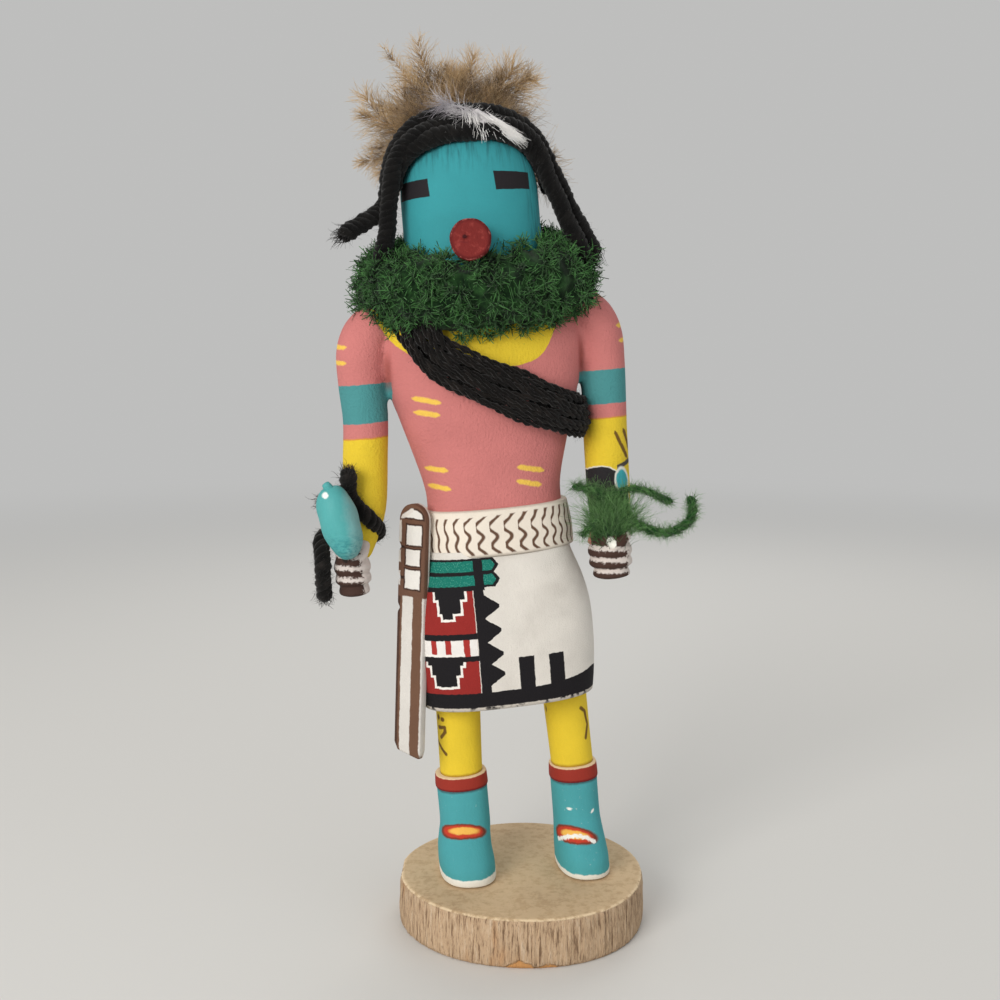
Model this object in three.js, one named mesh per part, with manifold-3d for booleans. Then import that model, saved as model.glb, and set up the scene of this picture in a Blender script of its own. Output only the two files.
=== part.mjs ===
// Kachina doll: a carved, painted figure with yarn and feather trim, standing on a slab of cottonwood.
// Millimetres, +Z up, the face toward -Y. The origin is the centre of the slab's underside.
//
// Everything above the slab is drawn upright and square to the front, in the figure's own coordinates:
// x across, y in depth and z up from the soles. pose() then turns and leans it as the doll stands.
import * as THREE from 'three';
import { mergeVertices } from 'three/addons/utils/BufferGeometryUtils.js';
import Module from 'manifold-3d';

const wasm = await Module();
wasm.setup();

// ---- driving dimensions ----
const GAP = 0.3; // air between pieces that touch
const FACET_SAG = 1.1; // how far coarse facets cut inside the round they stand for
const DEGREE = Math.PI / 180;

const SLAB_RADIUS = 34.6;
const SLAB_FLAT = 33.8; // the slab's left and right sides are shaved to this half width
const SLAB_HEIGHT = 13;
const SLAB_BEVEL = 0.6;

const TURN = 9 * DEGREE; // the body faces a little to its left
const LEAN = 4.7 * DEGREE; // and leans a little to its right
const LEAN_HEIGHT = 30; // the soles stay flat, and the lean is complete at this height
const HEAD_TURN = -9 * DEGREE; // the mask is turned back to the front
const STANDING_AT = [0.6, 1.5]; // the figure's axis on the slab

const LEGS_AT = [-15.4, 16.2]; // the middle of each leg across
const BOOT_HALF = [6.9, 6.4]; // half width of each boot's shaft
const SOLE = 1.5; // thickness of the carved sole
const CUFF = [25.2, 29.2]; // bottom and top of the carved boot cuff
const CUFF_DROP = 1.3; // the cuff of the doll's left boot sits lower
const HEM = 50.2;
const BELT = [90.2, 102.6]; // bottom and top of the belt
const ARM_SPREAD = 32.4; // from the axis to the middle of each arm
const MASK_HALF = [18, 15]; // half width and half depth of the mask
const MASK_DOME = [182.6, 199]; // where the dome starts and its top

const SNOUT_RADIUS = 5.15;
const SNOUT_AT = [-4, 171]; // across and up, at its outer face
const SNOUT_TIP = 24.2; // how far its outer face stands in front of the axis

const RUFF_PATH = [22, 13.5, 161.6]; // half width, half depth and height of the ring of wool
const RUFF_HALF = [11.2, 12]; // half thickness and half height of the wool
const RUFF_DROP = 3.2; // how far the front hangs lower than the sides

const YARN_RADIUS = 2.25; // one strand of the hair
const BAND_HALF = [5.6, 2.4]; // half width and half thickness of the bandolier

const SASH_SIZE = [9, 2.8, 67.4]; // width, thickness and length of the slat
const SASH_FACING = 45 * DEGREE; // turned from the front toward the hip
const SASH_SPLAY = 6.6 * DEGREE; // its lower end stands away from the leg
const SASH_AT = [-25.6, -6.3, 71.8]; // its middle

const GOURD_HALF = [4.9, 9.7]; // half width and half height of the rattle's head
const GOURD_AT = [-42, -16.5, 103.6];
const GOURD_TILT = -12 * DEGREE;
const HANDLE_RADIUS = 1.5;

const CREST_ROOT = [0, 7, 199]; // the feathers spread from here
const CREST_HALF = [18, 5.5, 12]; // half sizes of the downy mass

// ---- solids from three.js geometry ----

/** A closed three.js geometry as a solid. */
function solid(geometry) {
  geometry.deleteAttribute('normal');
  geometry.deleteAttribute('uv');
  const merged = mergeVertices(geometry, 1e-4);
  const vertProperties = new Float32Array(merged.attributes.position.array);
  const triVerts = new Uint32Array(merged.index.array);
  return new wasm.Manifold(new wasm.Mesh({ numProp: 3, vertProperties, triVerts }));
}

/** A skin over rings of points: closed on itself, or capped by a fan at each end. */
function skin(rings, closed = false) {
  const sides = rings[0].length;
  const points = rings.flat();
  const faces = [];
  const spans = closed ? rings.length : rings.length - 1;
  for (let row = 0; row < spans; row += 1) {
    const near = row * sides;
    const far = ((row + 1) % rings.length) * sides;
    for (let i = 0; i < sides; i += 1) {
      const j = (i + 1) % sides;
      faces.push(near + i, near + j, far + j, near + i, far + j, far + i);
    }
  }
  if (!closed) {
    for (const [row, order] of [[0, 1], [rings.length - 1, 0]]) {
      const ring = rings[row];
      const middle = ring.reduce((sum, p) => sum.add(p), new THREE.Vector3()).divideScalar(sides);
      const hub = points.push(middle) - 1;
      for (let i = 0; i < sides; i += 1) {
        const a = row * sides + i;
        const b = row * sides + ((i + 1) % sides);
        faces.push(hub, order ? b : a, order ? a : b);
      }
    }
  }
  const geometry = new THREE.BufferGeometry().setFromPoints(points);
  geometry.setIndex(faces);
  return solid(geometry);
}

/** A level oval ring: a superellipse, where power 2 is an ellipse and more is squarer. */
function oval([z, halfWidth, halfDepth, x = 0, y = 0], sides, power, grow) {
  const ring = [];
  for (let i = 0; i < sides; i += 1) {
    const angle = (2 * Math.PI * i) / sides;
    const cos = Math.cos(angle);
    const sin = Math.sin(angle);
    const across = Math.sign(cos) * Math.abs(cos) ** (2 / power) * (halfWidth + grow);
    const deep = Math.sign(sin) * Math.abs(sin) ** (2 / power) * (halfDepth + grow);
    ring.push(new THREE.Vector3(x + across, y + deep, z));
  }
  return ring;
}

/** Rows of numbers made smooth: `steps` rows for each stretch between two given ones. */
function smooth(rows, steps) {
  const out = [];
  for (let i = 0; i < rows.length - 1; i += 1) {
    const a = rows[Math.max(i - 1, 0)];
    const b = rows[i];
    const c = rows[i + 1];
    const d = rows[Math.min(i + 2, rows.length - 1)];
    for (let step = 0; step < steps; step += 1) {
      const t = step / steps;
      out.push(b.map((_, k) => catmull(a[k], b[k], c[k], d[k], t)));
    }
  }
  out.push(rows[rows.length - 1]);
  return out;
}

function catmull(a, b, c, d, t) {
  const cubic = -a + 3 * b - 3 * c + d;
  const square = 2 * a - 5 * b + 4 * c - d;
  return 0.5 * (2 * b + (c - a) * t + square * t * t + cubic * t * t * t);
}

/** A column through level stations [z, half width, half depth, x, y], bottom first. */
function column(stations, { sides = 24, steps = 2, power = 2.2, grow = 0 } = {}) {
  const rows = smooth(stations.map(([z, w, d, x = 0, y = 0]) => [z, w, d, x, y]), steps);
  rows[0][0] -= grow;
  rows[rows.length - 1][0] += grow;
  return skin(rows.map((row) => oval(row, sides, power, grow)));
}

/** A strand along a curve, `shape(t)` giving its half width and half thickness at 0..1 along it. */
function strand(curve, shape, sides, steps, closed = false) {
  const frames = curve.computeFrenetFrames(steps, closed);
  const rings = [];
  for (let step = 0; step < (closed ? steps : steps + 1); step += 1) {
    const t = step / steps;
    const middle = curve.getPointAt(t);
    const [wide, thick] = shape(t);
    const ring = [];
    for (let i = 0; i < sides; i += 1) {
      const angle = (2 * Math.PI * i) / sides;
      const point = middle.clone();
      point.addScaledVector(frames.normals[step], Math.cos(angle) * wide);
      point.addScaledVector(frames.binormals[step], Math.sin(angle) * thick);
      ring.push(point);
    }
    rings.push(ring);
  }
  return skin(rings, closed);
}

function through(points) {
  return new THREE.CatmullRomCurve3(points.map((p) => new THREE.Vector3(...p)), false, 'centripetal');
}

/** A flat blade from root to tip, widest partway, standing in the plane square to `facing`. */
function blade(root, tip, halfWidth, halfThickness, facing) {
  const from = new THREE.Vector3(...root);
  const along = new THREE.Vector3(...tip).sub(from);
  const side = new THREE.Vector3().crossVectors(along, new THREE.Vector3(...facing)).normalize();
  const out = new THREE.Vector3().crossVectors(side, along).normalize();
  const rings = [];
  for (const [t, share] of [[0, 0.35], [0.3, 0.85], [0.6, 1], [0.85, 0.6], [1, 0.08]]) {
    const middle = from.clone().addScaledVector(along, t);
    const wide = halfWidth * share;
    const thick = halfThickness * Math.max(share, 0.3);
    rings.push([
      middle.clone().addScaledVector(side, wide),
      middle.clone().addScaledVector(out, -thick),
      middle.clone().addScaledVector(side, -wide),
      middle.clone().addScaledVector(out, thick),
    ]);
  }
  return skin(rings);
}

function union(parts) {
  return parts.reduce((whole, part) => whole.add(part));
}

/** The biggest piece of a solid, without the slivers that a cut left loose. */
function largest(body) {
  return body.decompose().reduce((best, piece) => (piece.volume() > best.volume() ? piece : best));
}

/** A repeatable number in 0..1 for an index, for things that differ by hand. */
function scatter(index) {
  const value = Math.sin(index * 127.1 + 11.7) * 43758.5453;
  return value - Math.floor(value);
}

// ---- the carved figure ----

const TORSO = [
  [88, 18.6, 12.6],
  [103, 18.1, 12.1],
  [109, 18.5, 12.2],
  [118, 20.8, 13],
  [127, 23.4, 13.8],
  [137, 26.1, 14.2],
  [147, 27, 13.4],
  [155, 23, 11.4],
  [159.5, 15, 8.5],
];

const KILT = [
  [HEM, 22.6, 15.2],
  [57, 23.5, 15.7],
  [65, 24, 15.8],
  [74, 23.8, 15.4],
  [81.6, 22.4, 14.7],
  [88.7, 20.2, 13.7],
  [92, 19.6, 13.2],
];

function belt(grow, detail) {
  const [bottom, top] = BELT;
  const middle = (bottom + top) / 2;
  const stations = [
    [bottom, 20.1, 13.8],
    [bottom + 0.6, 20.5, 14.1],
    [middle, 20.5, 14],
    [top - 0.6, 19.7, 13.4],
    [top, 19.3, 13.1],
  ];
  return column(stations, { sides: 26 * detail, steps: 1, grow });
}

/** One leg in its boot: 0 is the doll's right leg and 1 its left. */
function leg(which, grow, detail) {
  const x = LEGS_AT[which];
  const shaft = BOOT_HALF[which];
  const toe = x - 0.9 * (1 - which);
  const [bottom, top] = CUFF.map((z) => z - CUFF_DROP * which);
  const calf = [
    [bottom, 5.8, 5.9, x, 1],
    [37, 5.9, 6, x * 0.97, 1],
    [HEM + 4, 6.2, 6.3, x * 0.93, 1],
  ];
  const cuff = [
    [bottom, shaft + 0.2, 7.2, x, 1.1],
    [bottom + 0.5, shaft + 0.35, 7.4, x, 1.1],
    [top - 0.5, shaft + 0.2, 7.2, x, 1.1],
    [top, shaft - 0.2, 6.8, x, 1.1],
  ];
  const boot = [
    [0, shaft + 0.5, 11.3, toe, -2.3],
    [SOLE, shaft + 0.7, 11.8, toe, -2.3],
    [4.5, shaft + 0.7, 11.4, toe, -2],
    [8, shaft + 0.4, 10.2, toe, -1],
    [11.5, shaft + 0.1, 8.7, (toe + x) / 2, 0.2],
    [15, shaft, 7.6, x, 1],
    [bottom + 0.3, shaft, 7.1, x, 1.1],
  ];
  return union([
    column(boot, { sides: 16 * detail, steps: 1, power: 2.4, grow }),
    column(cuff, { sides: 16 * detail, steps: 1, grow }),
    column(calf, { sides: 10 * detail, steps: 1, grow }),
  ]);
}

/** One arm with its fist: side is -1 or 1, [handX, handY, handZ] is the lowest point of the fist. */
function arm(side, [handX, handY, handZ], handHalf, grow, detail) {
  const x = side * ARM_SPREAD;
  const wrist = handZ + 12.5;
  const limb = [
    [wrist - 3, handHalf * 0.86, 4.9, handX * 0.98, handY * 0.8],
    [wrist + 3, 5.3, 5.2, x + (handX - x) * 0.6, handY * 0.55],
    [wrist + 10, 5.9, 5.8, x + (handX - x) * 0.34, handY * 0.22],
    [118, 6, 6, x + (handX - x) * 0.14, 0],
    [128, 6, 6.3, x, 0.4],
    [137, 6.3, 6.9, x, 0.6],
    [146, 7.2, 7.6, x * 0.965, 0.6],
    [152.5, 7.4, 7.2, x * 0.885, 0.5],
    [156.6, 5, 5.2, x * 0.835, 0.4],
    [158.4, 1.6, 1.8, x * 0.82, 0.4],
  ];
  const fist = [[handZ, handHalf * 0.45, 2.6, handX, handY + 0.6]];
  const fingers = 4;
  const pitch = 3.1;
  for (let finger = 0; finger < fingers; finger += 1) {
    const z = handZ + 1.5 + finger * pitch;
    const share = 1 - 0.11 * Math.abs(finger - 1.6) ** 1.3;
    fist.push([z, handHalf * share, 6.2 * share, handX, handY]);
    fist.push([z + pitch / 2, handHalf * share * 0.97, 5.5 * share, handX, handY]);
  }
  fist.push([wrist + 1.6, handHalf * 0.5, 3, handX, handY + 1.2]);
  return union([
    column(limb, { sides: 12 * detail, steps: 1, power: 2, grow }),
    column(fist, { sides: 10 * detail, steps: 1, power: 2.3, grow }),
  ]);
}

/** The mask: an upright block with a domed top, turned on the neck. */
function mask(grow, detail = 1) {
  const [halfWidth, halfDepth] = MASK_HALF;
  const [start, top] = MASK_DOME;
  const stations = [
    [150, 12, 9.5],
    [158, 16, 13],
    [168, halfWidth, halfDepth],
    [start, halfWidth, halfDepth],
  ];
  for (const height of [0.3, 0.55, 0.75, 0.9, 0.99]) {
    const share = (1 - height ** 2.5) ** (1 / 2.5);
    stations.push([start + (top - start) * height, halfWidth * share, halfDepth * share]);
  }
  const block = column(stations, { sides: 24 * detail, steps: 1, power: 2.15, grow });
  return block.rotate([0, 0, HEAD_TURN / DEGREE]);
}

const RATTLE_HAND = [-39.8, -8.5, 83.1]; // the doll's right hand
const SPRIG_HAND = [29.2, -7.5, 80]; // the doll's left hand

/** The whole carving, `grow` larger all round; detail 0.5 has half the facets. */
function figure(grow, detail = 1) {
  return union([
    column(KILT, { sides: 26 * detail, steps: 1, power: 2.5, grow }),
    belt(grow, detail),
    leg(0, grow, detail),
    leg(1, grow, detail),
    column(TORSO, { sides: 20 * detail, steps: 1, power: 2.3, grow }),
    mask(grow, detail),
    arm(-1, RATTLE_HAND, 4.9, grow, detail),
    arm(1, SPRIG_HAND, 6, grow, detail),
  ]);
}

// ---- glued, tied and held pieces ----

/** The slat: flat, with a round top and three pairs of notches beside the belt. */
function sash() {
  const [width, thickness, length] = SASH_SIZE;
  const half = width / 2;
  const notch = 0.7;
  const knob = 8.2;
  const outline = new THREE.Shape();
  outline.moveTo(-half, -length / 2 + 1.6);
  outline.lineTo(half - 1, -length / 2);
  outline.lineTo(half, -length / 2 + 3);
  outline.lineTo(half, length / 2 - half);
  outline.absarc(0, length / 2 - half, half, 0, Math.PI, false);
  for (let i = 0; i < 3; i += 1) {
    const z = length / 2 - half - i * knob;
    outline.lineTo(-half, z - knob + 2.2);
    outline.lineTo(-half + notch, z - knob + 1.1);
    outline.lineTo(-half, z - knob);
  }
  const extrusion = { depth: thickness, bevelEnabled: false, curveSegments: 5 };
  const slat = new THREE.ExtrudeGeometry(outline, extrusion);
  slat.translate(0, 0, -thickness / 2);
  slat.rotateX(Math.PI / 2);
  slat.rotateZ(-SASH_FACING);
  slat.rotateY(SASH_SPLAY);
  slat.translate(...SASH_AT);
  return solid(slat);
}

function snout(grow) {
  const [x, z] = SNOUT_AT;
  const length = 12;
  const [face, root] = [SNOUT_RADIUS + grow, SNOUT_RADIUS * 0.96 + grow];
  const dowel = new THREE.CylinderGeometry(face, root, length + grow, 24);
  dowel.translate(0, -SNOUT_TIP + length / 2 - grow / 2, 0);
  dowel.rotateZ(HEAD_TURN);
  dowel.translate(x - Math.sin(HEAD_TURN) * SNOUT_TIP, 0, z);
  return solid(dowel);
}

/** The ring of wool, lumpy all over and hanging lower in front. */
function ruff() {
  const [pathWidth, pathDepth, height] = RUFF_PATH;
  const [thick, tall] = RUFF_HALF;
  const around = 30;
  const sides = 9;
  const rings = [];
  for (let step = 0; step < around; step += 1) {
    const angle = (2 * Math.PI * step) / around;
    const front = -Math.sin(angle);
    const ring = [];
    for (let i = 0; i < sides; i += 1) {
      const turn = (-2 * Math.PI * i) / sides;
      const tuft = 1 + 0.1 * Math.sin(7 * angle + 3 * turn) + 0.08 * (scatter(step * sides + i) - 0.5);
      const reach = Math.cos(turn) * thick * tuft;
      const besideSnout = Math.exp(-(((angle / DEGREE - 262) / 16) ** 2));
      const dip = 2.6 * besideSnout * Math.max(Math.sin(turn), 0);
      const x = (pathWidth + reach) * Math.cos(angle);
      const y = (pathDepth + reach) * Math.sin(angle);
      const z = height - RUFF_DROP * front + Math.sin(turn) * tall * tuft - dip;
      ring.push(new THREE.Vector3(x, y, z));
    }
    rings.push(ring);
  }
  return skin(rings, true);
}

const HAIR = [
  // over the brow, hanging at both sides of the mask
  [
    [-25, -6, 168], [-22.3, -6.5, 178], [-20.6, -7, 188], [-17.4, -7.5, 195.6], [-9.5, -7.8, 200.2],
    [0, -8, 201.2], [9.5, -7.8, 200.2], [16.4, -7.2, 196], [19.6, -6.5, 188], [23.4, -6, 178],
    [28.6, -6, 165.5],
  ],
  // behind it, with the end that sticks out sideways
  [
    [-34.5, -8, 175.2], [-28, -6, 178.6], [-22.4, -3.5, 182.6], [-20.8, -3, 190], [-16.8, -3.6, 198.6],
    [-9, -4, 203.6], [0, -4, 204.6], [9, -4, 203.4], [17, -3.4, 198.4], [21.6, -3, 189.5],
    [26.4, -3, 178], [32, -3.5, 166.5],
  ],
  // the last one, short, ending behind the others
  [
    [-21, 1.5, 186], [-17.8, 0.6, 197], [-9.5, 0.3, 203.4], [0, 0.2, 204.8], [9.5, 0.3, 203.2],
    [18, 0.8, 196], [22, 1.5, 184],
  ],
];

function hair(grow) {
  const radius = YARN_RADIUS + grow;
  const round = () => [radius, radius];
  return union(HAIR.map((points) => strand(through(points), round, 6, points.length * 2 - 6)));
}

const BAND_PATH = [
  // from under the wool, down across the chest
  [-17.4, -13, 149.4], [-13.6, -15.6, 142.8], [-7, -16.8, 138.4], [0, -17, 134.6], [8, -16.6, 130.8],
  [16, -14.6, 127.4],
  // under the arm, up across the back and over the shoulder
  [22.4, -9.5, 125], [25.4, -1, 124.6], [21.6, 9.8, 127.4], [10, 15.8, 133.6], [-4, 16.8, 141.4],
  [-13, 14.6, 149.4], [-18.4, 8.4, 156.6], [-19.4, -4, 157.4],
];

/** The bundle of yarn round the chest and over one shoulder, flat against the body all the way. */
function bandolier(grow) {
  const [halfWide, halfThick] = BAND_HALF;
  const around = 30;
  const sides = 8;
  const points = BAND_PATH.map((point) => new THREE.Vector3(...point));
  const path = new THREE.CatmullRomCurve3(points, true, 'centripetal');
  const rings = [];
  for (let step = 0; step < around; step += 1) {
    const centre = path.getPointAt(step / around);
    const along = path.getTangentAt(step / around);
    const overShoulder = THREE.MathUtils.smoothstep(centre.z, 148, 160) * 1.2;
    const out = new THREE.Vector3(centre.x / 26, centre.y / 14, overShoulder).normalize();
    const up = new THREE.Vector3().crossVectors(out, along).normalize();
    out.crossVectors(along, up);
    const ring = [];
    for (let i = 0; i < sides; i += 1) {
      const turn = (-2 * Math.PI * i) / sides;
      const point = centre.clone();
      point.addScaledVector(out, Math.cos(turn) * (halfThick + grow));
      point.addScaledVector(up, Math.sin(turn) * (halfWide + grow));
      ring.push(point);
    }
    rings.push(ring);
  }
  return skin(rings, true);
}

/** The downy feathers: a soft mass behind the crown with quills spreading from it. */
function crest() {
  const [x, y, z] = CREST_ROOT;
  const mass = new THREE.SphereGeometry(1, 10, 7);
  mass.scale(...CREST_HALF);
  mass.translate(x, y, z);
  const parts = [solid(mass)];
  // angle from upright, toward +x, and length of each feather
  const feathers = [
    [-108, 25], [-90, 29], [-71, 29], [-55, 30], [-38, 32], [-25, 27], [-9, 23],
    [7, 20], [22, 23], [39, 25], [54, 29], [76, 22], [99, 29], [116, 32],
  ];
  feathers.forEach(([angle, length], index) => {
    const across = Math.sin(angle * DEGREE);
    const up = Math.cos(angle * DEGREE);
    const depth = (scatter(index) - 0.5) * 5;
    const root = [x + across * 7, y + depth * 0.4, z + up * 5];
    const tip = [x + across * length, y + depth, z + up * length];
    parts.push(blade(root, tip, 4.2, 1.1, [0.25 * across, -1, 0.2]));
  });
  return union(parts);
}

/** The white feather lying on the hair, quill end toward the crown. */
function whiteFeather() {
  return blade([-7, -8.5, 208.6], [16.4, -11.5, 196.2], 2.4, 0.55, [0.25, -0.7, 0.65]);
}

function gourd(grow) {
  const [halfWidth, halfHeight] = GOURD_HALF;
  const head = new THREE.SphereGeometry(1, 14, 10);
  head.rotateX(Math.PI / 2);
  head.scale(halfWidth + grow, halfWidth + grow, halfHeight + grow);
  const nub = new THREE.SphereGeometry(1.2 + grow, 6, 4);
  nub.translate(0, -0.6, halfHeight - 0.7);
  const tilt = (geometry) => {
    geometry.rotateY(GOURD_TILT);
    geometry.translate(...GOURD_AT);
    return solid(geometry);
  };
  return union([tilt(head), tilt(nub), handle(grow)]);
}

/** The rattle's handle, from its head down into the fist. */
function handle(grow) {
  const [x, y, z] = GOURD_AT;
  const [handX, handY, handZ] = RATTLE_HAND;
  const path = through([[x, y, z], [x + 1, y + 3.4, z - 9], [handX, handY, handZ + 6 - grow]]);
  return strand(path, () => [HANDLE_RADIUS + grow, HANDLE_RADIUS + grow], 8, 4);
}

function wristCord(grow) {
  const [x, y, z] = RATTLE_HAND;
  const path = through([
    [x + 1.4, y - 1.6, z + 33],
    [x + 1, y - 0.6, z + 26],
    [x + 5.4, y - 0.6, z + 20],
    [x + 7.6, y + 4, z + 15.5],
    [x + 3, y + 10.4, z + 14],
    [x - 4.4, y + 8, z + 15.5],
    [x - 7.2, y + 1, z + 15],
    [x - 7.6, y - 3, z + 8],
    [x - 8, y - 2, z + 0.4],
  ]);
  return strand(path, (t) => [1.9 + grow + 0.35 * Math.abs(2 * t - 1), 1.9 + grow], 6, 24);
}

const SPRIG_ROOT = [SPRIG_HAND[0], SPRIG_HAND[1] - 0.5, SPRIG_HAND[2] + 9];

/** The tuft of green yarn: a twist in the fist and branches to both sides. */
function sprig(grow) {
  const [x, y, z] = SPRIG_ROOT;
  const knot = [x + 0.6, y - 3, z + 12];
  const branches = [
    [[x, y, z], [x, y - 1, z + 6], knot],
    [[x + 1, y - 3, z + 10], [x - 3, y - 4.5, z + 15], [x - 10, y - 5, z + 17.6]],
    [[x - 0.5, y - 3, z + 13], [x + 6, y - 4.5, z + 15.4], [x + 16.5, y - 5, z + 10.6]],
    [
      [x, y - 3, z + 11], [x + 7, y - 4, z + 5.4], [x + 15, y - 5, z + 2.6], [x + 21.6, y - 5, z + 6],
      [x + 22, y - 4, z + 11.6],
    ],
    [[x + 1, y - 3, z + 11], [x - 4, y - 4, z + 8], [x - 8.6, y - 5, z + 4]],
  ];
  return union(branches.map((points) => strand(
    through(points), (t) => [2.7 - 1.2 * t + grow, 2.4 - t + grow], 6, points.length * 2 - 2)));
}

/** The slab: round, with two shaved sides and softened edges. */
function slab() {
  const sides = 48;
  const outline = (inset, z) => {
    const ring = [];
    for (let i = 0; i < sides; i += 1) {
      const angle = (2 * Math.PI * i) / sides;
      const flat = SLAB_FLAT / Math.max(Math.abs(Math.cos(angle)), 0.1);
      const wave = 0.4 * Math.sin(3 * angle - 2.1) + 0.15 * Math.sin(5 * angle);
      const radius = Math.min(SLAB_RADIUS - 0.6 + wave, flat) - inset;
      ring.push(new THREE.Vector3(Math.cos(angle) * radius, Math.sin(angle) * radius, z));
    }
    return ring;
  };
  return skin([
    outline(SLAB_BEVEL, 0),
    outline(0, SLAB_BEVEL),
    outline(0.3, SLAB_HEIGHT - SLAB_BEVEL),
    outline(SLAB_BEVEL + 0.3, SLAB_HEIGHT),
  ]);
}

// ---- assembly ----

/** From the figure's own coordinates to the doll as it stands on the slab. */
function pose(point) {
  const [x, y, z] = point;
  const lean = Math.sin(LEAN);
  const across = x - z * lean;
  const up = z + x * lean * Math.min(Math.max(z / LEAN_HEIGHT, 0), 1);
  point[0] = STANDING_AT[0] + across * Math.cos(TURN) - y * Math.sin(TURN);
  point[1] = STANDING_AT[1] + across * Math.sin(TURN) + y * Math.cos(TURN);
  point[2] = SLAB_HEIGHT + GAP + up;
}

const doll = new THREE.Group();

function add(name, body, colour, roughness, posed = true) {
  const mesh = (posed ? body.warp(pose) : body).getMesh();
  const geometry = new THREE.BufferGeometry();
  geometry.setAttribute('position', new THREE.BufferAttribute(mesh.vertProperties, 3));
  geometry.setIndex(new THREE.BufferAttribute(mesh.triVerts, 1));
  geometry.computeVertexNormals();
  const material = new THREE.MeshStandardMaterial({ color: colour, roughness, metalness: 0 });
  const node = new THREE.Mesh(geometry, material);
  node.name = name;
  doll.add(node);
}

const body = figure(0).subtract(gourd(GAP)).subtract(sprig(GAP));
const clearOfBody = figure(GAP);
const coarseBody = figure(GAP + FACET_SAG, 0.5); // hidden seats need no fine facets
const coarseMask = mask(GAP + FACET_SAG, 0.5);
const wool = largest(ruff()
  .subtract(coarseBody)
  .subtract(hair(GAP))
  .subtract(bandolier(GAP))
  .subtract(snout(GAP)));

add('base', slab(), 0xb49a78, 0.8, false);
add('carved_figure', body, 0xd0757c, 0.85);
add('sash', sash().subtract(clearOfBody), 0xd8d4cc, 0.8);
add('snout', snout(0).subtract(mask(GAP)), 0x9c2f33, 0.7);
add('ruff', wool, 0x1f5a35, 1);
add('hair_yarn', hair(0).subtract(coarseMask), 0x151314, 1);
add('bandolier', largest(bandolier(0).subtract(coarseBody)), 0x131112, 1);
add('feather_crest', crest().subtract(coarseMask).subtract(hair(GAP)), 0x9a7f5c, 0.9);
add('white_feather', whiteFeather().subtract(hair(GAP)), 0xe6e4e0, 0.8);
add('rattle', gourd(0), 0x45a5ad, 0.6);
add('wrist_cord', wristCord(0).subtract(clearOfBody).subtract(gourd(GAP)), 0x151314, 1);
add('sprig', sprig(0), 0x2f6a3c, 1);

export default doll;
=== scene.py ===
"""Kachina doll: a carved, painted figure with yarn and feather trim, standing on a slab of cottonwood.

Shapes above the slab are worked out in the figure's own millimetres (x across, y in depth with the front
negative, z up from the soles), then turned and leaned by pose() and stored in metres. Each piece keeps
those coordinates as attributes, so its painted pattern is arithmetic on millimetres.
"""

import math

import bpy
import numpy as np
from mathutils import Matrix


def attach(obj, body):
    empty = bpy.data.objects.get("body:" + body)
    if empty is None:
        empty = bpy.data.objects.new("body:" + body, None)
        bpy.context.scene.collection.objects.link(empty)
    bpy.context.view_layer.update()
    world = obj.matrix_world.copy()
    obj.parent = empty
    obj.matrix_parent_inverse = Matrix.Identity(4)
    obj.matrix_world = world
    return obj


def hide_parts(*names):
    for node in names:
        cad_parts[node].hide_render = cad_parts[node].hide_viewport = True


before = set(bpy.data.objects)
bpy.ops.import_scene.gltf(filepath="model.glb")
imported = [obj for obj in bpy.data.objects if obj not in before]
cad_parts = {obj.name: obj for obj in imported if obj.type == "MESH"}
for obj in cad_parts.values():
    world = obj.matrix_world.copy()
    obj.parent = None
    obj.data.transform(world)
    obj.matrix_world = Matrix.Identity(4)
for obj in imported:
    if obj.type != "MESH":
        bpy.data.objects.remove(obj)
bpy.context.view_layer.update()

MM = 0.001
DEGREE = math.pi / 180

SLAB_HEIGHT = 13.0
GAP = 0.3
TURN = 9 * DEGREE
LEAN = math.sin(4.7 * DEGREE)
LEAN_HEIGHT = 30.0
HEAD_TURN = -9 * DEGREE
STANDING_AT = (0.6, 1.5)
LEGS_AT = (-15.4, 16.2)
BOOT_HALF = (6.9, 6.4)
CUFF = (25.2, 29.2)
CUFF_DROP = 1.3
HEM = 50.2
BELT = (90.2, 102.6)
ARM_SPREAD = 32.4
RATTLE_HAND = (-39.8, -8.5, 83.1)
SPRIG_HAND = (29.2, -7.5, 80.0)


# ---- camera, light and floor ----

def make_camera():
    data = bpy.data.cameras.new("camera")
    data.lens = 45.0
    data.sensor_width = 36.0
    data.clip_start = 0.01
    camera = bpy.data.objects.new("camera", data)
    camera.location = (-0.00618, -0.3366, 0.1556)
    camera.rotation_euler = (math.radians(90 - 6.6), 0.0, 0.0)
    bpy.context.scene.collection.objects.link(camera)
    bpy.context.scene.camera = camera


def make_light(name, power, size, location, target, colour):
    data = bpy.data.lights.new(name, "AREA")
    data.energy = power
    data.size = size
    data.color = colour
    light = bpy.data.objects.new(name, data)
    light.location = location
    away = np.subtract(location, target)
    light.rotation_euler = (math.acos(away[2] / np.linalg.norm(away)), 0.0, math.atan2(away[0], -away[1]))
    bpy.context.scene.collection.objects.link(light)


PALE = (0.86, 0.86, 0.85)
FLOOR_REACH = 3.0
SKY = 0.6


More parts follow.
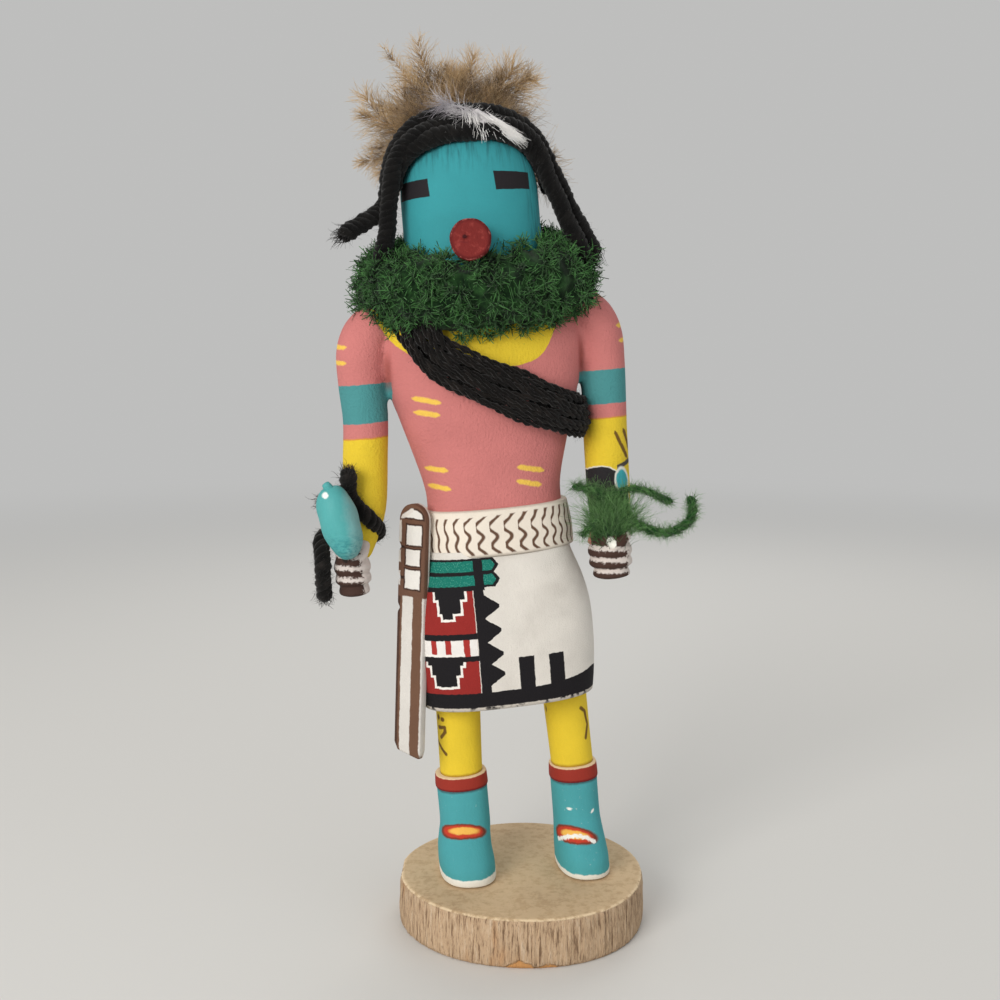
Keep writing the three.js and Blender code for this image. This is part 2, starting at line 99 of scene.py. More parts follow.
def make_studio():
    make_light("key", 7.4, 0.5, (-0.5, -0.8, 0.42), (0, 0, 0.12), (1.0, 0.97, 0.93))
    make_light("fill", 0.6, 0.7, (0.55, -0.5, 0.3), (0, 0, 0.12), (0.97, 0.98, 1.0))
    make_light("back", 1.6, 0.5, (0.1, 0.6, 0.6), (0, 0, 0.12), (1.0, 0.98, 0.95))
    bpy.context.scene.view_settings.view_transform = "Standard"
    world = bpy.data.worlds.new("studio")
    world.use_nodes = True
    world.node_tree.nodes["Background"].inputs["Color"].default_value = (*PALE, 1)
    world.node_tree.nodes["Background"].inputs["Strength"].default_value = SKY
    bpy.context.scene.world = world
    mesh = bpy.data.meshes.new("floor")
    r = FLOOR_REACH
    mesh.from_pydata([(-r, -r, 0), (r, -r, 0), (r, r, 0), (-r, r, 0)], [], [(0, 1, 2, 3)])
    floor = bpy.data.objects.new("floor", mesh)
    bpy.context.scene.collection.objects.link(floor)
    # far from the doll the floor glows like the sky, so that no horizon shows
    paint = Paint("floor", (214, 213, 210), 0.9)
    place = paint.nodes.new("ShaderNodeNewGeometry")
    split = paint.nodes.new("ShaderNodeSeparateXYZ")
    paint.links.new(place.outputs["Position"], split.inputs[0])
    x, y = (Value(paint, out) for out in split.outputs[:2])
    far = ramp((x * x + y * y) ** 0.5, 0.25, 1.3)
    paint.cover((0, 0, 0), far)
    glow = paint.nodes.new("ShaderNodeMix")
    glow.data_type = "RGBA"
    paint.feed(glow.inputs[0], far)
    glow.inputs[6].default_value = (0, 0, 0, 1)
    glow.inputs[7].default_value = tuple(c * SKY for c in PALE) + (1,)
    paint.links.new(glow.outputs[2], paint.shader.inputs["Emission Color"])
    paint.shader.inputs["Emission Strength"].default_value = 1.0
    paint.shader.inputs["Specular IOR Level"].default_value = 0.0
    mesh.materials.append(paint.done())


# ---- arithmetic in a material ----

class Value:
    """A number that changes over a surface: the output of a node, with the usual arithmetic."""

    def __init__(self, paint, socket):
        self.paint = paint
        self.socket = socket

    def __add__(self, other):
        return self.paint.math("ADD", self, other)

    def __radd__(self, other):
        return self.paint.math("ADD", other, self)

    def __sub__(self, other):
        return self.paint.math("SUBTRACT", self, other)

    def __rsub__(self, other):
        return self.paint.math("SUBTRACT", other, self)

    def __mul__(self, other):
        return self.paint.math("MULTIPLY", self, other)

    def __rmul__(self, other):
        return self.paint.math("MULTIPLY", other, self)

    def __truediv__(self, other):
        return self.paint.math("DIVIDE", self, other)

    def __pow__(self, other):
        return self.paint.math("POWER", self, other)

    def __neg__(self):
        return self.paint.math("MULTIPLY", self, -1.0)

    def __abs__(self):
        return self.paint.math("ABSOLUTE", self)


def low(a, b):
    return a.paint.math("MINIMUM", a, b)


def high(a, b):
    return a.paint.math("MAXIMUM", a, b)


def sine(a):
    return a.paint.math("SINE", a)


def floor_of(a):
    return a.paint.math("FLOOR", a)


def within(value, start, end):
    """How far outside a range a number is, negative inside it."""
    return abs(value - (start + end) / 2) - (end - start) / 2


def block(x, z, left, right, bottom, top):
    """Distance outside an upright rectangle, negative inside."""
    return high(within(x, left, right), within(z, bottom, top))


def stroke(x, z, start, end, half):
    """Distance outside a straight brush stroke, negative inside."""
    dx = end[0] - start[0]
    dz = end[1] - start[1]
    length = math.hypot(dx, dz)
    cos = dx / length
    sin = dz / length
    px = x - (start[0] + end[0]) / 2
    pz = z - (start[1] + end[1]) / 2
    along = abs(px * cos + pz * sin) - length / 2
    across = abs(pz * cos - px * sin) - half
    return high(along, across + high(along + half * 1.5, 0.0) * 0.5)


def brushed(x, z, points, half):
    """Distance outside a brush line with round ends through several points, negative inside."""
    nearest = None
    for start, end in zip(points, points[1:]):
        length = math.dist(start, end)
        cos = (end[0] - start[0]) / length
        sin = (end[1] - start[1]) / length
        px = x - (start[0] + end[0]) / 2
        pz = z - (start[1] + end[1]) / 2
        along = high(abs(px * cos + pz * sin) - length / 2, 0.0)
        across = pz * cos - px * sin
        gap = (along * along + across * across) ** 0.5 - half
        nearest = gap if nearest is None else low(nearest, gap)
    return nearest


def spot(x, z, middle, half):
    """Distance outside an upright ellipse, roughly in millimetres, negative inside."""
    px = (x - middle[0]) / half[0]
    pz = (z - middle[1]) / half[1]
    return ((px * px + pz * pz) ** 0.5 - 1.0) * min(half)


def inside(distance, soft=0.14):
    """1 inside, 0 outside, with an edge `soft` millimetres wide."""
    paint = distance.paint
    return paint.math("MULTIPLY_ADD", distance, -1.0 / soft, 0.5, clamp=True)


def ramp(value, start, end):
    """0 at start and below, 1 at end and above, smooth between."""
    node = value.paint.nodes.new("ShaderNodeMapRange")
    node.interpolation_type = "SMOOTHSTEP"
    value.paint.feed(node.inputs["Value"], value)
    node.inputs["From Min"].default_value = start
    node.inputs["From Max"].default_value = end
    return Value(value.paint, node.outputs["Result"])


class Paint:
    """A material built up in coats, each laid on by a mask."""

    def __init__(self, name, colour, roughness=0.75):
        self.material = bpy.data.materials.new(name)
        self.material.use_nodes = True
        self.nodes = self.material.node_tree.nodes
        self.links = self.material.node_tree.links
        self.shader = self.nodes["Principled BSDF"]
        self.shader.inputs["Roughness"].default_value = roughness
        self.shader.inputs["Specular IOR Level"].default_value = 0.2
        self.colour = self.rgb(colour)
        self.height = None

    @staticmethod
    def rgb(colour):
        """A colour given as the eye sees it, 0 to 255, as the shader wants it."""
        return tuple((c / 255) ** 2.2 for c in colour) + (1.0,)

    def feed(self, socket, value):
        if isinstance(value, Value):
            self.links.new(value.socket, socket)
        else:
            socket.default_value = value

    def math(self, operation, *values, clamp=False):
        node = self.nodes.new("ShaderNodeMath")
        node.operation = operation
        node.use_clamp = clamp
        for socket, value in zip(node.inputs, values):
            self.feed(socket, value)
        return Value(self, node.outputs[0])

    def attribute(self, name):
        node = self.nodes.new("ShaderNodeAttribute")
        node.attribute_name = name
        return node

    def place(self, name="figure"):
        """A stored coordinate, as a vector and as its three numbers."""
        node = self.attribute(name)
        split = self.nodes.new("ShaderNodeSeparateXYZ")
        self.links.new(node.outputs["Vector"], split.inputs[0])
        return Value(self, node.outputs["Vector"]), [Value(self, out) for out in split.outputs]

    def amount(self, name):
        return Value(self, self.attribute(name).outputs["Fac"])

    def vector(self, *values):
        node = self.nodes.new("ShaderNodeCombineXYZ")
        for socket, value in zip(node.inputs, values):
            self.feed(socket, value)
        return Value(self, node.outputs[0])

    def noise(self, vector, scale, detail=2.0, rough=0.5, warp=0.0):
        node = self.nodes.new("ShaderNodeTexNoise")
        self.links.new(vector.socket, node.inputs["Vector"])
        node.inputs["Scale"].default_value = scale
        node.inputs["Detail"].default_value = detail
        node.inputs["Roughness"].default_value = rough
        node.inputs["Distortion"].default_value = warp
        return Value(self, node.outputs["Fac"])

    def cells(self, vector, scale):
        node = self.nodes.new("ShaderNodeTexVoronoi")
        self.links.new(vector.socket, node.inputs["Vector"])
        node.inputs["Scale"].default_value = scale
        return Value(self, node.outputs["Distance"])

    def cover(self, colour, mask):
        """One more coat: a colour, or another mixed colour, where the mask is 1."""
        node = self.nodes.new("ShaderNodeMix")
        node.data_type = "RGBA"
        node.inputs[0].default_value = 1.0
        self.feed(node.inputs[0], mask)
        self.feed(node.inputs[6], self.colour)
        self.feed(node.inputs[7], colour if isinstance(colour, Value) else self.rgb(colour))
        self.colour = Value(self, node.outputs[2])

    def shade(self, factor):
        """Lightens or darkens the coats so far by a factor near 1."""
        node = self.nodes.new("ShaderNodeHueSaturation")
        self.feed(node.inputs["Value"], factor)
        self.feed(node.inputs["Color"], self.colour)
        self.colour = Value(self, node.outputs["Color"])

    def raise_by(self, height):
        """Relief in millimetres, added to what is there."""
        self.height = height if self.height is None else self.height + height

    def rough(self, roughness):
        self.feed(self.shader.inputs["Roughness"], roughness)

    def done(self):
        self.feed(self.shader.inputs["Base Color"], self.colour)
        if self.height is not None:
            node = self.nodes.new("ShaderNodeBump")
            node.inputs["Strength"].default_value = 1.0
            node.inputs["Distance"].default_value = MM
            self.feed(node.inputs["Height"], self.height)
            self.links.new(node.outputs["Normal"], self.shader.inputs["Normal"])
        return self.material


# ---- meshes ----

def pose(points):
    """From the figure's own millimetres to the doll as it stands, in metres."""
    x, y, z = points[:, 0], points[:, 1], points[:, 2]
    across = x - z * LEAN
    up = z + x * LEAN * np.clip(z / LEAN_HEIGHT, 0, 1)
    placed = np.empty_like(points)
    placed[:, 0] = STANDING_AT[0] + across * math.cos(TURN) - y * math.sin(TURN)
    placed[:, 1] = STANDING_AT[1] + across * math.sin(TURN) + y * math.cos(TURN)
    placed[:, 2] = SLAB_HEIGHT + GAP + up
    return placed * MM


class Shape:
    """Points in the figure's millimetres, with quads and triangles and values kept for the paint."""

    def __init__(self, points, faces, wrap=None, kind=0, **values):
        self.points = np.asarray(points, float)
        self.faces = [np.asarray(f, int) for f in faces if len(f)]
        self.wrap = wrap
        self.kinds = [np.full(len(f), kind, int) for f in self.faces]
        count = len(self.points)
        self.values = {name: np.broadcast_to(v, count).astype(float) for name, v in values.items()}

    def turned(self, angle):
        cos, sin = math.cos(angle), math.sin(angle)
        x, y = self.points[:, 0].copy(), self.points[:, 1].copy()
        self.points[:, 0] = x * cos - y * sin
        self.points[:, 1] = x * sin + y * cos
        return self

    def leaned(self, angle):
        cos, sin = math.cos(angle), math.sin(angle)
        x, z = self.points[:, 0].copy(), self.points[:, 2].copy()
        self.points[:, 0] = x * cos + z * sin
        self.points[:, 2] = z * cos - x * sin
        return self


def joined(shapes):
    """Several shapes as one."""
    offset = 0
    faces, kinds, wraps = [], [], []
    for shape in shapes:
        faces += [f + offset for f in shape.faces]
        kinds += shape.kinds
        if shape.wrap is not None:
            wraps.append(shape.wrap)
        offset += len(shape.points)
    whole = Shape(np.concatenate([s.points for s in shapes]), faces)
    whole.kinds = kinds
    whole.wrap = np.concatenate(wraps) if len(wraps) == len(shapes) else None
    whole.values = {name: np.concatenate([s.values[name] for s in shapes]) for name in shapes[0].values}
    return whole


def show(name, shape, materials, nodes, flat=False, posed=True):
    """Makes the Blender object of a shape, riding on the doll and standing for its CAD nodes."""
    mesh = bpy.data.meshes.new(name)
    placed = pose(shape.points) if posed else shape.points * MM
    loops = np.concatenate([f.ravel() for f in shape.faces])
    sizes = np.concatenate([np.full(len(f), f.shape[1]) for f in shape.faces])
    starts = np.concatenate([[0], np.cumsum(sizes)[:-1]])
    mesh.vertices.add(len(placed))
    mesh.vertices.foreach_set("co", placed.ravel())
    mesh.loops.add(len(loops))
    mesh.loops.foreach_set("vertex_index", loops)
    mesh.polygons.add(len(sizes))
    mesh.polygons.foreach_set("loop_start", starts)
    mesh.polygons.foreach_set("material_index", np.concatenate(shape.kinds))
    mesh.polygons.foreach_set("use_smooth", np.full(len(sizes), not flat))
    mesh.update(calc_edges=True)
    own = mesh.attributes.new("figure", "FLOAT_VECTOR", "POINT")
    own.data.foreach_set("vector", shape.points.ravel().astype(np.float32))
    if shape.wrap is not None:
        own = mesh.attributes.new("wrap", "FLOAT_VECTOR", "CORNER")
        own.data.foreach_set("vector", shape.wrap.ravel().astype(np.float32))
    for key, values in shape.values.items():
        own = mesh.attributes.new(key, "FLOAT", "POINT")
        own.data.foreach_set("value", values.astype(np.float32))
    for material in materials if isinstance(materials, list) else [materials]:
        mesh.materials.append(material)
    piece = bpy.data.objects.new(name, mesh)
    bpy.context.scene.collection.objects.link(piece)
    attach(piece, "root")
    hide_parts(*nodes)
    return piece


def catmull(rows, steps):
    """Rows of numbers made smooth: `steps` rows for each stretch between two given ones."""
    rows = np.asarray(rows, float)
    t = (np.arange(steps) / steps)[:, None]
    out = []
    for i in range(len(rows) - 1):
        a = rows[max(i - 1, 0)]
        b, c = rows[i], rows[i + 1]
        d = rows[min(i + 2, len(rows) - 1)]
        cubic = -a + 3 * b - 3 * c + d
        square = 2 * a - 5 * b + 4 * c - d
        out.append(0.5 * (2 * b + (c - a) * t + square * t ** 2 + cubic * t ** 3))
    return np.concatenate(out + [rows[-1:]])


def grid_faces(rows, columns, around=True, along=False):
    """Quads over rows of points, wrapped around each row and, if asked, from the last row to the first."""
    r = np.arange(rows if along else rows - 1)
    c = np.arange(columns if around else columns - 1)
    near = (r * columns)[:, None]
    far = (((r + 1) % rows) * columns)[:, None]
    here = c[None, :]
    there = ((c + 1) % columns)[None, :]
    return np.stack([near + here, near + there, far + there, far + here], -1).reshape(-1, 4)


def fans(rows, sides):
    """Triangles from the first and the last of `rows` rings to two hub points that follow them."""
    i = np.arange(sides)
    j = (i + 1) % sides
    first, last = rows * sides, (rows - 1) * sides
    return np.concatenate([
        np.stack([np.full(sides, first), j, i], 1),
        np.stack([np.full(sides, first + 1), last + i, last + j], 1),
    ])


def corners(points, *faces):
    """What a point holds, once for each corner of the faces."""
    return np.concatenate([points[f].reshape(-1, 3) for f in faces])


def column(stations, sides=96, steps=6, power=2.2, kind=0, wave=None):
    """A column through level stations [z, half width, half depth, x, y], bottom first, closed at both ends.

    Its wrap coordinate is the distance round it from the middle of the front, and the height."""
    rows = catmull([list(s) + [0.0] * (5 - len(s)) for s in stations], steps)
    angle = -math.pi / 2 + np.linspace(-math.pi, math.pi, sides, endpoint=False)
    cos, sin = np.cos(angle), np.sin(angle)
    across = np.sign(cos) * np.abs(cos) ** (2 / power)
    deep = np.sign(sin) * np.abs(sin) ** (2 / power)
    points = np.empty((len(rows), sides, 3))
    points[..., 0] = rows[:, 3:4] + across * rows[:, 1:2]
    points[..., 1] = rows[:, 4:5] + deep * rows[:, 2:3]
    points[..., 2] = rows[:, 0:1]
    if wave is not None:
        points += wave(points, across, deep)
    ahead = np.linalg.norm(np.roll(points, -1, 1) - points, axis=2)
    arc = np.concatenate([np.zeros((len(rows), 1)), np.cumsum(ahead, 1)], 1)
    arc -= arc[:, sides // 2: sides // 2 + 1]
    quads = grid_faces(len(rows), sides)
    r, c = np.divmod(np.arange(len(quads)), sides)
    wrap = np.zeros((len(quads), 4, 3))
    for corner, (dr, dc) in enumerate([(0, 0), (0, 1), (1, 1), (1, 0)]):
        wrap[:, corner, 0] = arc[r + dr, c + dc]
        wrap[:, corner, 1] = points[r + dr, (c + dc) % sides, 2]
    flat = points.reshape(-1, 3)
    hubs = np.array([points[0].mean(0), points[-1].mean(0)])
    caps = fans(len(rows), sides)
    cap_wrap = np.zeros((len(caps), 3, 3))
    both = np.concatenate([flat, hubs])
    cap_wrap[..., 0] = both[caps][..., 0]
    cap_wrap[..., 1] = both[caps][..., 2]
    return Shape(both, [quads, caps], np.concatenate([wrap.reshape(-1, 3), cap_wrap.reshape(-1, 3)]), kind)


def path_through(points, spacing, closed=False):
    """A smooth centripetal curve through points, with evenly spaced samples."""
    points = np.asarray(points, float)
    count = len(points)
    spans = count if closed else count - 1
    dense = []
    for i in range(spans):
        if closed:
            p = [points[(i + k) % count] for k in (-1, 0, 1, 2)]
        else:
            p = [points[min(max(i + k, 0), count - 1)] for k in (-1, 0, 1, 2)]
            if i == 0:
                p[0] = 2 * p[1] - p[2]
            if i == spans - 1:
                p[3] = 2 * p[2] - p[1]
        knots = [0.0]
        for k in range(3):
            knots.append(knots[-1] + max(np.linalg.norm(p[k + 1] - p[k]), 1e-6) ** 0.5)
        t = np.linspace(knots[1], knots[2], 24, endpoint=False)[:, None]
        a = [(knots[k + 1] - t) / (knots[k + 1] - knots[k]) * p[k]
             + (t - knots[k]) / (knots[k + 1] - knots[k]) * p[k + 1] for k in range(3)]
        b = [(knots[k + 2] - t) / (knots[k + 2] - knots[k]) * a[k]
             + (t - knots[k]) / (knots[k + 2] - knots[k]) * a[k + 1] for k in range(2)]
        share = (t - knots[1]) / (knots[2] - knots[1])
        dense.append((1 - share) * b[0] + share * b[1])
    dense = np.concatenate(dense + [points[:1] if closed else points[-1:]])
    steps = np.linalg.norm(np.diff(dense, axis=0), axis=1)
    run = np.concatenate([[0], np.cumsum(steps)])
    number = max(int(round(run[-1] / spacing)), 4)
    at = np.linspace(0, run[-1], number, endpoint=not closed)
    return np.stack([np.interp(at, run, dense[:, k]) for k in range(3)], 1)


def unit(vectors):
    return vectors / np.maximum(np.linalg.norm(vectors, axis=-1, keepdims=True), 1e-9)


def frames_along(path, closed=False):
    """Tangent, normal and binormal at each sample, with the least twist."""
    if closed:
        tangents = unit(np.roll(path, -1, 0) - np.roll(path, 1, 0))
    else:
        tangents = unit(np.gradient(path, axis=0))
    start = np.array([0.3, 0.1, 1.0]) if abs(tangents[0][2]) < 0.8 else np.array([1.0, 0.2, 0.0])
    normal = unit(start - tangents[0] * np.dot(start, tangents[0]))
    normals = []
    for tangent in tangents:
        normal = unit(normal - tangent * np.dot(normal, tangent))
        normals.append(normal)
    normals = np.array(normals)
    return tangents, normals, np.cross(tangents, normals)


def tube(path, radius, sides=8, closed=False, **values):
    """A round tube along samples, with its ends drawn in."""
    tangents, normals, binormals = frames_along(path, closed)
    radius = np.broadcast_to(radius, len(path))
    angle = np.linspace(0, 2 * math.pi, sides, endpoint=False)
    cos, sin = np.cos(angle)[None, :, None], np.sin(angle)[None, :, None]
    ring = cos * normals[:, None] + sin * binormals[:, None]
    points = path[:, None] + ring * radius[:, None, None]
    flat = points.reshape(-1, 3)
    faces = [grid_faces(len(path), sides, along=closed)]
    if not closed:
        bulge = tangents * radius[:, None] * 0.4
        hubs = np.array([path[0] - bulge[0], path[-1] + bulge[-1]])
        faces.append(fans(len(path), sides))
        flat = np.concatenate([flat, hubs])
    shape = Shape(flat, faces)
    for name, value in values.items():
        per_ring = np.broadcast_to(value, len(path)).astype(float)
        spread = np.repeat(per_ring, sides)
        if not closed:
            spread = np.concatenate([spread, per_ring[[0, -1]]])
        shape.values[name] = spread
    return shape


def yarn(path, radius, plies=3, pitch=7.0, sides=7, rng=None, closed=False, loose=0.12):
    """A twisted strand: plies wound round its path, a little uneven."""
    _, normals, binormals = frames_along(path, closed)
    run = np.concatenate([[0], np.cumsum(np.linalg.norm(np.diff(path, axis=0), axis=1))])
    turns = run * 2 * math.pi / pitch
    if closed:
        total = run[-1] + np.linalg.norm(path[0] - path[-1])
        turns = run * 2 * math.pi * round(total / pitch) / total
    shapes = []
    for ply in range(plies):
        turn = turns + 2 * math.pi * ply / plies
        slow = np.sin(run * 0.9 + rng.uniform(0, 6.3))
        wander = 1 + loose * slow * np.sin(run * 0.37 + rng.uniform(0, 6.3))
        offset = radius * 0.5 * wander
        sideways = (np.cos(turn) * offset)[:, None] * normals
        centre = path + sideways + (np.sin(turn) * offset)[:, None] * binormals
        thick = radius * 0.56 * (1 + 0.1 * np.sin(run * 1.7 + rng.uniform(0, 6.3)))
        if not closed:
            end = np.minimum(run, run[-1] - run)
            thick = thick * np.clip(0.45 + end / 1.2, 0, 1)
        tone = rng.uniform(0.2, 0.8) + 0.2 * np.sin(run * 0.8 + ply)
        shapes.append(tube(centre, thick, sides, closed, tone=tone))
    return joined(shapes)


def fibres(starts, directions, lengths, radius, rng, curl=0.5, segments=3, sag=0.0, tone=None, tip=0.35):
    """Many thin tapered hairs at once, each bending its own way."""
    count = len(starts)
    directions = unit(directions)
    side = unit(np.cross(directions, rng.normal(size=(count, 3))))
    other = np.cross(directions, side)
    lengths = np.broadcast_to(lengths, count)
    radius = np.broadcast_to(radius, count)
    bend = np.clip(rng.normal(size=(count, 1)), -1.4, 1.4) * curl
    twist = np.clip(rng.normal(size=(count, 1)), -1.4, 1.4) * curl
    t = np.linspace(0, 1, segments + 1)
    rings = []
    for step in t:
        centre = starts + lengths[:, None] * (
            directions * step + side * bend * step ** 2 + other * twist * (step ** 3 - 0.3 * step))
        centre[:, 2] -= sag * lengths * step ** 2
        thick = radius * (1 - (1 - tip) * step)
        ring = []
        for corner in range(3):
            angle = 2 * math.pi * corner / 3
            ring.append(centre + (side * math.cos(angle) + other * math.sin(angle)) * thick[:, None])
        rings.append(np.stack(ring, 1))
    points = np.stack(rings, 1).reshape(-1, 3)
    per = (segments + 1) * 3
    one = grid_faces(segments + 1, 3)
    faces = (np.arange(count) * per)[:, None, None] + one[None]
    along = np.tile(np.repeat(t, 3), count)
    tones = np.repeat(rng.uniform(0, 1, count) if tone is None else tone, per)
    return Shape(points, [faces.reshape(-1, 4)], along=along, tone=tones)


def with_values(shape, **values):
    """Adds values that a shape lacks, so that it can join others."""
    for name, value in values.items():
        shape.values.setdefault(name, np.full(len(shape.points), float(value)))
    return shape


make_camera()
make_studio()


# ---- the carving ----

TURQUOISE = (74, 138, 140)
PINK = (194, 118, 115)
YELLOW = (220, 190, 54)
BLACK = (30, 28, 31)
CREAM = (224, 214, 200)


def aged(paint, grain=0.05, strokes=0.04, fine=2.6, direction=(1.0, 1.0, 0.35)):
    """Hand-brushed water paint on cottonwood: uneven cover, fine wood grain and brush strokes."""
    figure, (x, y, z) = paint.place()
    stretched = paint.vector(x * direction[0], y * direction[1], z * direction[2])
    wide = paint.noise(figure, 0.12, 3.0)
    speck = paint.noise(figure, fine, 3.0, 0.65)
    brush = paint.noise(stretched, 1.7, 3.0, 0.6)
    paint.shade(0.82 + wide * 0.2 + speck * 0.1 + brush * 0.06)
    paint.raise_by((speck - 0.5) * grain * 1.9 + (brush - 0.5) * strokes * 1.6)
    paint.rough(0.66 + speck * 0.24)
    return figure, x, y, z


def wobbly(paint, x, z, figure, reach=0.35, scale=0.55):
    """Coordinates that waver a little, so that painted edges look brushed by hand."""
    a = paint.noise(figure, scale, 2.0)
    b = paint.noise(figure, scale * 1.37, 2.0)
    return x + (a - 0.5) * reach * 2, z + (b - 0.5) * reach * 2


def wrapped(paint, reach, scale):
    """The place in the figure, and wavering coordinates round and up a column's surface."""
    figure, _ = paint.place()
    _, (around, height, _) = paint.place("wrap")
    return figure, *wobbly(paint, around, height, figure, reach, scale)


def make_kilt():
    stations = [
        [HEM, 23.2, 14.9],
        [HEM + 0.2, 23.6, 15.2],
        [57, 24.4, 15.7],
        [65, 24.8, 15.8],
        [74, 24.5, 15.4],
        [81.6, 22.9, 14.7],
        [88.7, 20.4, 13.7],
        [92, 19.6, 13.2],
    ]
    aside = 0.8
    stations = [station + [-aside] for station in stations]
    kilt = column(stations, sides=144, steps=8, power=2.7)
    paint = Paint("painted_kilt", (216, 211, 203))
    figure, (_, _, fz) = paint.place()
    _, (around, height, _) = paint.place("wrap")
    x, z = wobbly(paint, around - aside, height, figure, 0.22, 0.7)
    dirt = ramp(paint.noise(figure, 0.07, 3.0), 0.45, 0.75)
    paint.cover((182, 176, 168), dirt * 0.5)

    # green ends of the sash, laid over its dark outline
    slot_z = (88.3, 84.6)
    outline = None
    fill = None
    for middle in slot_z:
        taper = x + abs(z - middle) * 0.75
        band = high(high(within(z, middle - 1.95, middle + 1.95), taper + 2.2), -32.0 - x)
        leaf = high(high(within(z, middle - 1.35, middle + 1.35), taper + 3.2), -32.0 - x)
        outline = band if outline is None else low(outline, band)
        fill = leaf if fill is None else low(fill, leaf)
    dark = outline

    # the black edge with its four teeth, the hem and its two bars
    edge = high(x + 6.9, high(-9.5 - x, z - 89.6))
    dark = low(dark, edge)
    for middle in (77.6, 71.2, 65.0, 59.6):
        tooth = high(high(abs(z - middle) * 1.45 + x + 2.5, x + 3.1), -8.0 - x)
        dark = low(dark, tooth)
    rise = high(22.0 - abs(x - 24.0), 0.0)
    hem = z - 54.8 - rise * rise * 0.004 - rise * 0.02
    dark = low(dark, hem)
    dark = low(dark, block(x, z, 0.8, 4.9, 50, 63.4))
    dark = low(dark, block(x, z, 9.0, 13.2, 50, 63.2))

    # the panel: two red fields with stepped figures between black bars
    field = block(x, z, -34.0, -9.7, 54.0, 82.6)
    paint.cover((142, 44, 41), inside(field))
    white = block(x, z, -34.0, -9.7, 64.6, 69.4)
    paint.cover((226, 222, 218), inside(white))
    for left, right in ((-22.3, -20.7), (-18.3, -16.7), (-13.3, -11.7)):
        paint.cover((160, 52, 48), inside(high(within(x, left, right), within(z, 64.6, 69.4))))
    upper = low(low(block(x, z, -20.0, -11.9, 80.0, 83.5), block(x, z, -19.0, -13.2, 76.4, 80.5)),
                block(x, z, -18.2, -15.4, 74.9, 77.0))
    lower = low(low(block(x, z, -24.0, -13.8, 62.6, 65.0), block(x, z, -22.8, -14.7, 60.0, 63.0)),
                low(block(x, z, -21.8, -15.9, 57.0, 60.5), block(x, z, -20.4, -17.5, 56.8, 58.0)))
    figures = low(upper, lower)
    paint.cover((232, 228, 222), inside(high(figures - 0.62, field)))
    dark = low(dark, high(figures, field))
    dark = low(dark, block(x, z, -34.0, -9.4, 69.3, 70.9))
    dark = low(dark, block(x, z, -34.0, -9.4, 63.5, 64.9))
    dark = low(dark, block(x, z, -34.0, -6.6, 82.0, 83.0))
    paint.cover(BLACK, inside(dark))
    glitter = paint.cells(figure, 3.2)
    paint.cover((26, 112, 98), inside(fill))
    sparkle = ramp(glitter, 0.3, 0.1) * 0.7 * ramp(abs(x + 7.8), 1.0, 1.5)
    paint.cover((130, 214, 196), inside(fill) * sparkle)
    paint.cover(BLACK, inside(block(x, z, -8.9, -6.5, 82.0, 89.9)))
    # back and far side stay plain, with the same hem
    paint.raise_by(inside(dark, 0.5) * 0.04)
    worn = ramp(paint.noise(figure, 0.5, 2.0), 0.35, 0.5)
    paint.cover((196, 188, 178), ramp(z, HEM + 0.75, HEM + 0.45) * worn)
    under = 1.0 - ramp(fz, HEM - 0.2, HEM + 0.5)
    paint.cover((150, 145, 138), under * 0.5)
    aged(paint, 0.09, 0.05, 3.4)
    show("kilt", kilt, paint.done(), ["carved_figure"])


def make_belt():
    bottom, top = BELT
    middle = (bottom + top) / 2
    stations = [
        [bottom, 20.0, 13.7],
        [bottom + 0.25, 20.4, 14.0],
        [bottom + 0.9, 20.6, 14.15],
        [middle, 20.5, 14.0],
        [top - 0.9, 19.75, 13.45],
        [top - 0.25, 19.55, 13.3],
        [top, 19.2, 13.0],
    ]
    belt = column(stations, sides=160, steps=5)
    paint = Paint("painted_belt", CREAM)
    _, x, z = wrapped(paint, 0.16, 0.6)
    # lines further apart in the middle of the front
    spacing = 3.0
    spread = x - sine(x * (math.pi / 22.0)) * 1.5
    index = floor_of(spread / spacing)
    odd = sine(index * 12.9) * 0.5 + 0.5
    mid = ramp(abs(x - 3.0), 21.0, 9.0)
    height = z - bottom
    swing = 0.3 + mid * 0.45
    phase = height * 1.28 + 0.6 + odd * 0.9
    bend = sine(phase) * swing
    slope = sine(phase + math.pi / 2) * swing * 1.28
    hook_from = 9.0
    hook = high(height - hook_from - odd * 0.5, 0.0)
    bend = bend + hook * hook * (0.12 + mid * 0.34) - height * 0.08
    line = abs(spread - (index + 0.5) * spacing - bend + 0.35) / (slope * slope + 1.0) ** 0.5 - 0.4
    line = high(line, within(height, 0.7 + odd * 0.3, 10.6 + odd * 0.7))
    paint.cover((96, 72, 58), inside(line, 0.3))
    paint.raise_by(inside(line, 0.3) * 0.04)
    # painted shade: the belt is darkened along its lower and upper edges, where it meets the kilt and the
    # torso
    lower = ramp(z, bottom + 1.2, bottom + 0.1)
    upper = ramp(z, top - 0.7, top)
    paint.cover((150, 140, 128), lower * 0.8)
    paint.cover((170, 158, 146), upper * 0.5)
    aged(paint, 0.05, 0.04)
    show("belt", belt, paint.done(), ["carved_figure"])


